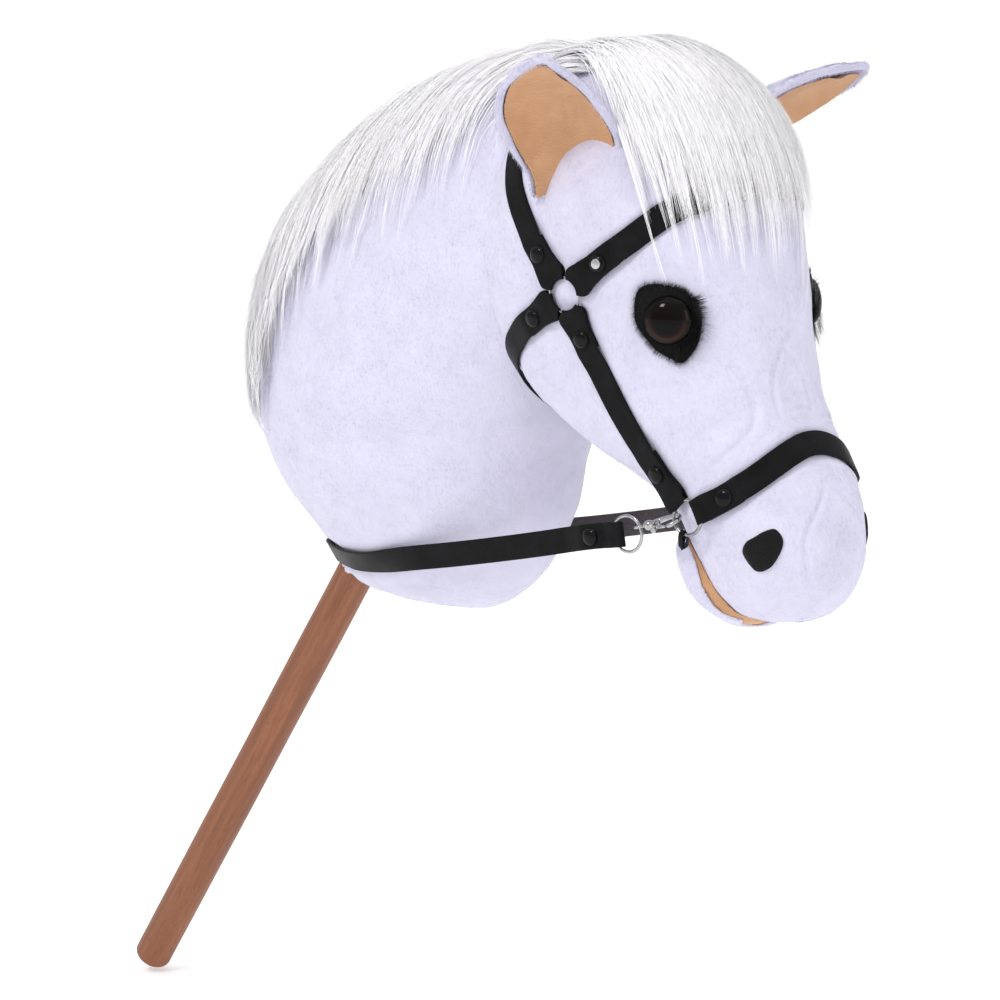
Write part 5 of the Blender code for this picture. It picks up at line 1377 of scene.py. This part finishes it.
def bristles(name, roots, tips, width, mat, replaces, bend=None, rows=4, body="toy"):
    """Tapered flat hairs from roots to tips, each a chain of quads to a point."""
    roots, tips = np.asarray(roots), np.asarray(tips)
    n = len(roots)
    bend = np.zeros_like(roots) if bend is None else bend
    d = units(tips - roots)
    view = units(np.cross(d, np.tile([0.31, 0.52, 0.79], (n, 1))))
    verts = np.empty((n, 2 * rows + 1, 3))
    for r in range(rows):
        t = r / rows
        c = roots + (tips - roots) * t + bend * (t * (1 - t) * 4)[..., None] if np.ndim(t) else roots + (tips - roots) * t + bend * (t * (1 - t) * 4)
        w = width * (1 - t) ** 0.6 / 2
        verts[:, 2 * r] = c - view * w
        verts[:, 2 * r + 1] = c + view * w
    verts[:, -1] = tips
    base = (np.arange(n) * (2 * rows + 1))[:, None]
    faces = []
    for r in range(rows - 1):
        faces.append(base + np.array([2 * r, 2 * r + 1, 2 * r + 3, 2 * r + 2]))
    faces = np.concatenate(faces) if faces else np.zeros((0, 4), int)
    last = base + np.array([2 * rows - 2, 2 * rows - 1, 2 * rows])
    obj = plain_object(name, verts.reshape(-1, 3), faces.tolist() + last.tolist())
    return dress(obj, mat, replaces, body)


PATCHES = []  # where the pile leaves room: centre, axes, outline


def make_face():
    tree = TREES["head"]
    rng = np.random.default_rng(41)
    for side, name in ((-1, "right"), (1, "left")):
        at = np.array([0.563, 0.066 * side, 0.5215])
        p, n, across, up = skin_frame(tree, at, side)
        PATCHES.append((p, n, across, up, np.array(EYE_PATCH) / 1000 * 0.97))
        piece(f"{name}_eye_patch_fur", *pad(tree, at, side, EYE_PATCH, 0.0004, 0.0016), LOOKS["fur_black"], f"{name}_eye_patch", "black_fur")
        # short black fur on the patch, leaning outwards over its edge
        outline = pad_outline(EYE_PATCH, 220)
        roots, tips = [], []
        for k in range(3600):
            e = outline[rng.integers(len(outline))]
            f = math.sqrt(rng.uniform(0.30, 1.0)) if k % 3 else rng.uniform(0.94, 1.0)
            x, y = e * f
            lean = unit([x, y]) if f > 0 else np.array([1.0, 0])
            q, m = snap(tree, p + across * x + up * y)
            roots.append(q + m * 0.0012)
            a = rng.normal(0, 0.6)
            d = across * (lean[0] * math.cos(a) - lean[1] * math.sin(a)) + up * (lean[0] * math.sin(a) + lean[1] * math.cos(a))
            reach = rng.uniform(0.0018, 0.0030) + (rng.uniform(0.0, 0.0016) if f > 0.93 else 0.0)
            tips.append(q + m * (0.0014 + rng.uniform(0.0004, 0.0014)) + unit(d) * reach)
        bristles(f"{name}_eye_patch_hairs", roots, tips, 0.00030, LOOKS["fur_black"], (), rows=2)
        base = 0.0020
        dome = [(0, base + 0.0080)]
        for a in np.linspace(0.10, math.pi / 2, 22):
            dome.append((EYE_R * math.sin(a) ** 0.95, base + 0.0006 + 0.0074 * math.cos(a) ** 1.05))
        dome += [(EYE_R - 0.0003, base), (EYE_STEM_R, base), (EYE_STEM_R, -0.0140), (0, -0.0140)]
        piece(f"{name}_eye_dome", *lathe(dome, p, n, 72), eye_look(f"{name}_eye_plastic", p, n), f"{name}_eye", "eye_plastic", angle=50)
        # lashes: a thin fan on the front and lower side of the eye
        roots, tips, bend = [], [], []
        for k in range(420):
            a = math.radians(rng.uniform(-75, 45))
            r0 = EYE_R + rng.uniform(0.0010, 0.0050)
            out = across * math.cos(a) + up * math.sin(a)
            q, m = snap(tree, p + out * r0)
            root = q + m * rng.uniform(0.0016, 0.0030)
            a2 = a - rng.uniform(0.0, 0.55)
            d = unit(across * math.cos(a2) + up * math.sin(a2))
            reach = rng.uniform(0.0060, 0.0115) * (1.15 if a < 0 else 0.80)
            roots.append(root)
            tips.append(root + d * reach + m * reach * rng.uniform(0.05, 0.40) - up * 0.0008)
            bend.append(m * 0.0010)
        bristles(f"{name}_lash_hairs", roots, tips, 0.00044, LOOKS["fur_black"], f"{name}_eyelashes", np.array(bend), rows=5)
        spot = np.array([0.624, 0.047 * side, 0.386])
        q, m, a2, u2 = skin_frame(tree, spot, side)
        PATCHES.append((q, m, a2, u2, np.array(NOSTRIL) / 1000 * 0.97))
        piece(f"{name}_nostril_felt", *pad(tree, spot, side, NOSTRIL, 0.0005, 0.0019), LOOKS["felt"], f"{name}_nostril", "black_felt")


# ---------------------------------------------------------------------------
# Pile and long fur
# ---------------------------------------------------------------------------
def inside(polygon, x, y):
    hit = np.zeros(len(x), bool)
    j = len(polygon) - 1
    for i in range(len(polygon)):
        xi, yi = polygon[i]
        xj, yj = polygon[j]
        hit ^= ((yi > y) != (yj > y)) & (x < (xj - xi) * (y - yi) / (yj - yi + 1e-15) + xi)
        j = i
    return hit


def scattered(obj, count, rng):
    """Random points over a mesh with its normals."""
    mesh = obj.data
    mesh.calc_loop_triangles()
    tri = np.empty(len(mesh.loop_triangles) * 3, np.int32)
    mesh.loop_triangles.foreach_get("vertices", tri)
    tri = tri.reshape(-1, 3)
    p, n = points_of(mesh), normals_of(mesh)
    a, b, c = p[tri[:, 0]], p[tri[:, 1]], p[tri[:, 2]]
    area = np.linalg.norm(np.cross(b - a, c - a), axis=1)
    pick = rng.choice(len(tri), size=count, p=area / area.sum())
    u, v = rng.random(count), rng.random(count)
    over = u + v > 1
    u[over], v[over] = 1 - u[over], 1 - v[over]
    w = np.stack([1 - u - v, u, v], 1)[..., None]
    q = (np.stack([a[pick], b[pick], c[pick]], 1) * w).sum(1)
    m = units((n[tri[pick]] * w).sum(1))
    return q, m


def clear_of_trim(q):
    """False where a strap, eye patch or nostril lies on the skin."""
    keep = np.ones(len(q), bool)
    for name, (p, n, w, _, _) in BANDS.items():
        fine = catmull(np.hstack([p, w[:, None]]), len(p) * 4)
        d, where = distance_to_line(q, fine[:, :3])
        half = np.interp(where * (len(fine) - 1), np.arange(len(fine)), fine[:, 3]) / 2
        keep &= d > half + 0.0005
    for p, n, across, up, outline in PATCHES:
        d = q - p
        near = np.linalg.norm(d, axis=1) < 0.035
        x, y = d @ across, d @ up
        keep &= ~(near & inside(outline, x, y))
    return keep


def pile(name, obj, count, seed, length=(0.0017, 0.0027), width=0.00042, keep=None, stand=0.22):
    """Short soft hairs over a skin, combed down and back in drifting tufts."""
    rng = np.random.default_rng(seed)
    q, m = scattered(obj, count, rng)
    ok = clear_of_trim(q)
    if keep is not None:
        ok &= keep(q)
    q, m = q[ok], m[ok]
    n = len(q)
    comb = np.stack([0.25 + 0.5 * waves(q, seed + 1, 0.05), 0.5 * waves(q, seed + 2, 0.05), -0.9 + 0.35 * waves(q, seed + 3, 0.04)], 1)
    comb -= m * np.sum(comb * m, axis=1, keepdims=True)
    lean = (1.0 + 0.25 * waves(q, seed + 4, 0.03))[:, None]
    d = units(m * stand + units(comb) * lean + rng.normal(0, 0.16, (n, 3)))
    reach = rng.uniform(*length, n)[:, None]
    # each hair is a blade lying open to the outside
    side = units(np.cross(d, m + rng.normal(0, 0.07, (n, 3))))
    root = q - m * 0.0003
    verts = np.stack([root - side * width / 2, root + side * width / 2, root + d * reach], 1).reshape(-1, 3)
    faces = np.arange(3 * n).reshape(-1, 3)
    piled = plain_object(name, verts, faces)
    dress(piled, LOOKS["pile"], ())
    shaded(piled, np.repeat(m, 3, axis=0))
    return piled


def shaded(obj, normals):
    """Lights thin hairs by the body under them, as one soft mass."""
    obj.data.normals_split_custom_set_from_vertices(normals.tolist())


def surface_tree(objs):
    """Nearest-point reader of several meshes, with smooth normals."""
    verts, tris, normals = [], [], []
    for obj in objs:
        base = len(verts)
        mesh = obj.data
        mesh.calc_loop_triangles()
        verts += [Vector(q) for q in points_of(mesh)]
        normals += [Vector(q) for q in normals_of(mesh)]
        tris += [tuple(base + k for k in t.vertices) for t in mesh.loop_triangles]
    return BVHTree.FromPolygons(verts, tris), verts, tris, normals


def hair_guides(tree, roots, start, lengths, lifts, pull, steps=11, drift=None, base=0.0024):
    """Combs one guide hair from each root: it starts along its own direction,
    then falls over the body under it at its own height."""
    guides, shades = [], []
    for k, (root, first) in enumerate(zip(roots, start)):
        q, n = snap(tree, root)
        step = lengths[k] / steps
        direction = unit(first)
        line, shade = [q + n * 0.0012], [n]
        p = q.copy()
        for i in range(1, steps + 1):
            t = i / steps
            fall = np.array(pull)
            fall = fall - n * (fall @ n)
            w = smoothstep(0.0, 0.45, t)
            direction = unit(direction * (1 - 0.45 * w) + fall * (0.45 * w) + (drift[k] if drift is not None else 0.0))
            direction = unit(direction - n * (direction @ n))
            q, n = snap(tree, p + direction * step)
            p = q
            rise = lifts[k] * math.sin(math.pi * min(t * 1.35 + 0.02, 1.0) * 0.5) ** 0.8
            rise *= 1 - 0.82 * smoothstep(0.62, 1.0, t)
            line.append(q + n * (base + (0.0026 - base) * smoothstep(0.86, 1.0, t) + rise))
            shade.append(n)
        guides.append(line)
        shades.append(shade)
    guides, shades = np.array(guides), np.array(shades)
    for _ in range(2):
        guides[:, 1:-1] = guides[:, 1:-1] * 0.5 + (guides[:, :-2] + guides[:, 2:]) * 0.25
    return guides, shades


def locks(name, guides, shades, per, spread, width, seed, mat, replaces=(), frizz=0.0012, pinch=0.55):
    """Fills locks of flat tapered hairs round their guides, closing to the tips."""
    rng = np.random.default_rng(seed)
    g = np.repeat(guides, per, axis=0)
    n, rows = g.shape[0], g.shape[1]
    t = units(np.gradient(g, axis=1))
    a = units(np.cross(t, np.array([0.2, 0.1, 0.97])))
    b = np.cross(t, a)
    u, v = rng.normal(0, 1, n) * spread, rng.normal(0, 0.14, n) * spread
    f = np.linspace(0, 1, rows)[None, :, None]
    close = 1 - pinch * f**1.5
    wave = np.sin(f * rng.uniform(2, 7, (n, 1, 1)) + rng.uniform(0, 6.28, (n, 1, 1))) * frizz * f
    wave2 = np.sin(f * rng.uniform(2, 7, (n, 1, 1)) + rng.uniform(0, 6.28, (n, 1, 1))) * frizz * 0.6 * f
    line = g + a * (u[:, None, None] * close + wave) + b * (v[:, None, None] * close + wave2)
    reach = rng.uniform(0.72, 1.06, n)
    # shorten each hair by sampling its own line
    s = np.clip(np.linspace(0, 1, rows)[None, :] * reach[:, None], 0, 1) * (rows - 1)
    i = np.minimum(s.astype(int), rows - 2)
    w = (s - i)[..., None]
    k = np.arange(n)[:, None]
    line = line[k, i] * (1 - w) + line[k, i + 1] * w
    body = np.repeat(shades, per, axis=0)
    side = units(np.cross(units(np.gradient(line, axis=1)), body + rng.normal(0, 0.06, (n, 1, 3))))
    half = width / 2 * np.clip(1 - np.linspace(0, 1, rows) ** 1.7, 0.03, 1)[None, :, None] ** 0.75 * rng.uniform(0.7, 1.2, (n, 1, 1))
    verts = np.stack([line - side * half, line + side * half], 2).reshape(-1, 3)
    base = (np.arange(n) * rows * 2)[:, None]
    faces = np.concatenate([base + np.array([2 * r, 2 * r + 1, 2 * r + 3, 2 * r + 2]) for r in range(rows - 1)])
    obj = dress(plain_object(name, verts, faces), mat, replaces)
    shaded(obj, np.repeat(units(body), 2, axis=1).reshape(-1, 3))
    return obj


def hair_slab(rows, keep, angles, low, high, n_along, n_across, fringe=None, parting=0.0):
    """A thin soft mass under the hairs. With fringe, its lower end sinks into the plush, ragged from lock to lock.
    With parting, it lies lower along the middle, where the hairs start."""
    ragged = np.interp(np.linspace(0, 1, n_across + 1), np.linspace(0, 1, 15), np.random.default_rng(31).uniform(0, 1, 15))
    rows = catmull(rows, 141)[int(keep[0] * 140) : int(keep[1] * 140) + 1]
    pick = catmull(rows, n_along + 1)
    verts, faces = [], []
    for top in (False, True):
        for i, row in enumerate(pick):
            f = i / n_along
            a0, a1 = angles(f)
            for k in range(n_across + 1):
                g = k / n_across
                edge = math.sin(math.pi * g) ** 0.7 if 0 < g < 1 else 0.0
                edge *= 1 - parting * math.exp(-(((g - 0.5) / 0.13) ** 2))
                taper = min(1.0, math.sin(math.pi * min(max(f, 0.0), 1.0)) * 1.6) if 0 < f < 1 else 0.0
                rise = low + ((0.0010 + (high - low - 0.0010) * edge * (0.08 + 0.92 * taper)) if top else 0.0)
                if fringe:
                    start = fringe[0] + (fringe[1] - fringe[0]) * ragged[k]
                    sunk = -0.0015 if top else -0.0024
                    rise = sunk + (rise - sunk) * float(smoothstep(start, start + fringe[2], f))
                verts.append(section_point(row, a0 + (a1 - a0) * g, -rise))
    size = (n_along + 1) * (n_across + 1)
    for i in range(n_along):
        for k in range(n_across):
            a = i * (n_across + 1) + k
            quad = (a, a + 1, a + n_across + 2, a + n_across + 1)
            faces.append(quad)
            faces.append(tuple(q + size for q in quad[::-1]))
    rim = (
        [k for k in range(n_across + 1)]
        + [i * (n_across + 1) + n_across for i in range(1, n_along + 1)]
        + [n_along * (n_across + 1) + k for k in range(n_across - 1, -1, -1)]
        + [i * (n_across + 1) for i in range(n_along - 1, 0, -1)]
    )
    for a, b in zip(rim, rim[1:] + rim[:1]):
        faces.append((b, a, a + size, b + size))
    return verts, faces


def make_hair(head, neck):
    rng = np.random.default_rng(7)
    tree = surface_tree([head, neck])

    def crest(f):
        spread = math.radians(18 + 40 * smoothstep(0.0, 0.32, f) - 8 * f)
        return math.pi - spread, math.pi + spread

    def brow(f):
        spread = math.radians(15 + 25 * f + 68 * max(f - 0.65, 0) / 0.35)
        return -spread, spread

    def off_ears(guides, shades):
        """Leaves out hairs that would fall through an ear."""
        keep = np.ones(len(guides), bool)
        fine = catmull(np.array(EAR_EDGES), 97)
        for name in EARS:
            at, across, up, out, _ = ear_axes(name)
            d = guides - at
            x, t, h = d @ across, d @ up / EAR_LENGTH, d @ out
            low, high = np.interp(t, fine[:, 0], fine[:, 1]) / 1000, np.interp(t, fine[:, 0], fine[:, 2]) / 1000
            hit = (t > 0.0) & (t < 1.0) & (x > low - 0.002) & (x < high + 0.002) & (h > -0.014) & (h < 0.035)
            keep &= ~hit.any(axis=1)
        return guides[keep], shades[keep]

    piece("mane_under", *hair_slab(NECK, (0.46, 0.965), crest, 0.0006, 0.0103, 90, 80, parting=0.32), LOOKS["hair_under"], "neck_mane", "hair")
    piece("forelock_under", *hair_slab(HEAD, (0.69, 0.995), brow, 0.0006, 0.0102, 50, 60, (0.16, 0.34, 0.34)), LOOKS["hair_under"], "forelock", "hair")

    rows = catmull(NECK, 201)
    roots, start, lengths, lifts = [], [], [], []
    for k in range(2300):
        f = rng.uniform(0.425, 0.965)
        row = rows[int(f * 200)]
        ahead = rows[min(int(f * 200) + 3, 200)]
        off = float(np.clip(rng.normal(0, 0.36), -0.85, 0.85))
        root = section_point(row, math.pi + off, 0.0)
        q, n = snap(tree, root)
        crest_dir = unit(np.array([ahead[0] - row[0], 0, ahead[1] - row[1]]))
        side = math.copysign(1.0, root[1] + rng.normal(0, 0.010))
        d = np.array([0, side, 0]) * 0.9 - crest_dir * rng.uniform(0.35, 1.0) + n * 0.25
        roots.append(root)
        start.append(d)
        low = smoothstep(0.42, 0.60, f)
        lengths.append((rng.uniform(0.070, 0.118) + (rng.uniform(0.0, 0.034) if k % 4 == 0 else 0.0)) * (0.62 + 0.38 * low))
        lifts.append(rng.uniform(0.0060, 0.0086))
    guides, shades = hair_guides(tree, roots, start, lengths, lifts, (-0.16, 0, -1.0))
    third = len(guides) // 3 + 1
    for part in range(3):
        span = slice(part * third, (part + 1) * third)
        locks(f"mane_hair_{part}", guides[span], shades[span], 12, 0.0036, 0.00043, 70 + part, LOOKS["hair"], pinch=0.7)

    # the poll: hair parts over the crown strap, back to the neck
    roots, start, lengths, lifts = [], [], [], []
    for k in range(760):
        y = float(np.clip(rng.normal(0, 0.030), -0.062, 0.062))
        q, n = snap(tree, np.array([rng.uniform(0.428, 0.474), y, 0.70]))
        roots.append(q)
        start.append(np.array([-1.0, y * 12 + rng.normal(0, 0.2), 0.1]))
        lengths.append(rng.uniform(0.050, 0.090))
        lifts.append(rng.uniform(0.0062, 0.0095))
    guides, shades = off_ears(*hair_guides(tree, roots, start, lengths, lifts, (-0.5, 0, -1.0), steps=9, base=0.0040))
    locks("poll_hair", guides, shades, 12, 0.0034, 0.00043, 80, LOOKS["hair"])

    # forelock, from between the ears forward over the brow
    roots, start, lengths, lifts, drift = [], [], [], [], []
    for k in range(1800):
        y = float(np.clip(rng.normal(0, 0.022), -0.041, 0.050)) if k % 3 else rng.uniform(-0.044, 0.058)
        if k >= 1500:
            y = rng.uniform(-0.043, -0.012)
        x = rng.uniform(0.436, 0.516)
        root = np.array([x, y, 0.70])
        q, n = snap(tree, root)
        fan = y * 8.0 + rng.normal(0, 0.20)
        d = np.array([1.0, fan, 0.12])
        roots.append(q)
        start.append(d)
        shorter = 1.0 - 0.16 * float(smoothstep(-0.022, -0.040, y))
        lengths.append((rng.uniform(0.080, 0.160) - (x - 0.47) * 0.35 + (rng.uniform(0.0, 0.055) if k % 4 == 0 else 0.0)) * shorter)
        lifts.append(rng.uniform(0.0044, 0.0066))
        drift.append(np.array([0.0, fan * 0.045 + rng.normal(0, 0.02), 0.0]))
    guides, shades = off_ears(*hair_guides(tree, roots, start, lengths, lifts, (0.45, 0, -1.0), steps=12, drift=drift, base=0.0054))
    half = len(guides) // 2
    for part, span in enumerate((slice(0, half), slice(half, None))):
        locks(f"forelock_hair_{part}", guides[span], shades[span], 13, 0.0036, 0.00042, 90 + part, LOOKS["hair"], frizz=0.0018, pinch=0.75)
    return tree


# ---------------------------------------------------------------------------
# Stick, inner pieces and stage
# ---------------------------------------------------------------------------
def make_stick():
    axis = np.array([math.sin(STICK_LEAN), 0, math.cos(STICK_LEAN)])
    e = 0.0052
    profile = [(0, 0.0), (STICK_R - e, 0.0)]
    profile += [(STICK_R - e + e * math.sin(a), e - e * math.cos(a)) for a in np.linspace(0.12, math.pi / 2, 12)]
    profile += [(STICK_R, z) for z in np.linspace(e + 0.004, STICK_LENGTH - 0.004, 60)]
    profile += [(STICK_R - 0.0015, STICK_LENGTH), (0, STICK_LENGTH)]
    obj = piece("stick_wood", *lathe(profile, np.zeros(3), axis, 72), LOOKS["wood"], "stick", "stick_wood", angle=60)
    p, n = points_of(obj.data), normals_of(obj.data)
    radial = p - np.outer(p @ axis, axis)
    r = np.linalg.norm(radial, axis=1)
    s = p @ axis
    move = waves(np.stack([s * 0.25, radial[:, 1], radial[:, 0]], 1), 31, 0.030) * 0.00012 * (r > 0.006)
    put_points(obj.data, p + units(radial + 1e-9) * move[:, None])


def make_inner():
    for node, look in (("stuffing", "stuffing"), ("right_eye_washer", "washer"), ("left_eye_washer", "washer")):
        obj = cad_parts[node]
        obj.data.materials.clear()
        obj.data.materials.append(LOOKS[look])


def make_stage():
    floor = plain_object("floor", [(-40, -40, -0.0085), (40, -40, -0.0085), (40, 40, -0.0085), (-40, 40, -0.0085)], [(0, 1, 2, 3)])
    m = Look("floor_pale", 0.9, colour=(0.86, 0.86, 0.86), Emission_Color=(1, 1, 1, 1), Emission_Strength=0.30, Specular_IOR_Level=0.1)
    floor.data.materials.append(m.mat)
    world = bpy.data.worlds.new("studio")
    SCENE.world = world
    world.use_nodes = True
    tree = world.node_tree
    bg = tree.nodes["Background"]
    coord = tree.nodes.new("ShaderNodeTexCoord")
    split = tree.nodes.new("ShaderNodeSeparateXYZ")
    ramp = tree.nodes.new("ShaderNodeValToRGB")
    scale = tree.nodes.new("ShaderNodeMath")
    scale.operation = "MULTIPLY_ADD"
    scale.inputs[1].default_value = 0.5
    scale.inputs[2].default_value = 0.5
    tree.links.new(coord.outputs["Generated"], split.inputs[0])
    tree.links.new(split.outputs["Z"], scale.inputs[0])
    tree.links.new(scale.outputs[0], ramp.inputs[0])
    ramp.color_ramp.elements[0].position = 0.45
    ramp.color_ramp.elements[0].color = (0.55, 0.55, 0.58, 1)
    ramp.color_ramp.elements[1].position = 0.80
    ramp.color_ramp.elements[1].color = (1.0, 1.0, 1.02, 1)
    tree.links.new(ramp.outputs[0], bg.inputs["Color"])
    bg.inputs["Strength"].default_value = 0.80

    def lamp(name, kind, at, target, energy, size, size_y=None, colour=(1, 1, 1)):
        data = bpy.data.lights.new(name, kind)
        data.energy = energy
        data.color = colour
        if kind == "AREA":
            data.shape = "RECTANGLE"
            data.size, data.size_y = size, size_y or size
        else:
            data.angle = size
        obj = bpy.data.objects.new(name, data)
        SCENE.collection.objects.link(obj)
        obj.location = at
        obj.rotation_mode = "QUATERNION"
        obj.rotation_quaternion = (Vector(target) - Vector(at)).to_track_quat("-Z", "Y")
        return obj

    middle = (0.40, 0.0, 0.50)
    left, up = -RIGHT, np.array([0, 0, 1.0])
    key = np.array(middle) + BACK * 1.6 + left * 1.5 + up * 1.5
    fill = np.array(middle) + BACK * 1.7 - left * 2.0 + up * 0.4
    lamp("key", "AREA", tuple(key), middle, 27, 0.55, 0.55)
    lamp("fill", "AREA", tuple(fill), middle, 11, 0.9, 1.6)
    lamp("top", "SUN", (0, 0, 5), (0.25, 0.15, 0), 0.6, math.radians(70))
    SCENE.view_settings.view_transform = "Standard"
    SCENE.view_settings.look = "None"
    SCENE.view_settings.exposure = 0.0


# ---------------------------------------------------------------------------
make_stage()
make_stick()
make_inner()
HEAD_SKIN, NECK_SKIN = make_skins()
LIP = make_mouth()
EAR_SKINS = make_ears()
make_face()
make_bridle()
for SIDE in ("right", "left"):
    make_hook(SIDE)
make_hair(HEAD_SKIN, NECK_SKIN)


def outside(tree, q, least):
    """True where a point isn't inside another body."""
    return np.array([height_over(tree, p) > least for p in q])


pile("head_pile", HEAD_SKIN, 195000, 201)
pile("neck_pile", NECK_SKIN, 195000, 211, keep=lambda q: outside(TREES["head"], q, -0.002))
pile("lip_pile", LIP, 12000, 221)
for K, SKIN in enumerate(EAR_SKINS):
    pile(f"ear_pile_{K}", SKIN, 16000, 231 + K, length=(0.0018, 0.0034), stand=0.85)
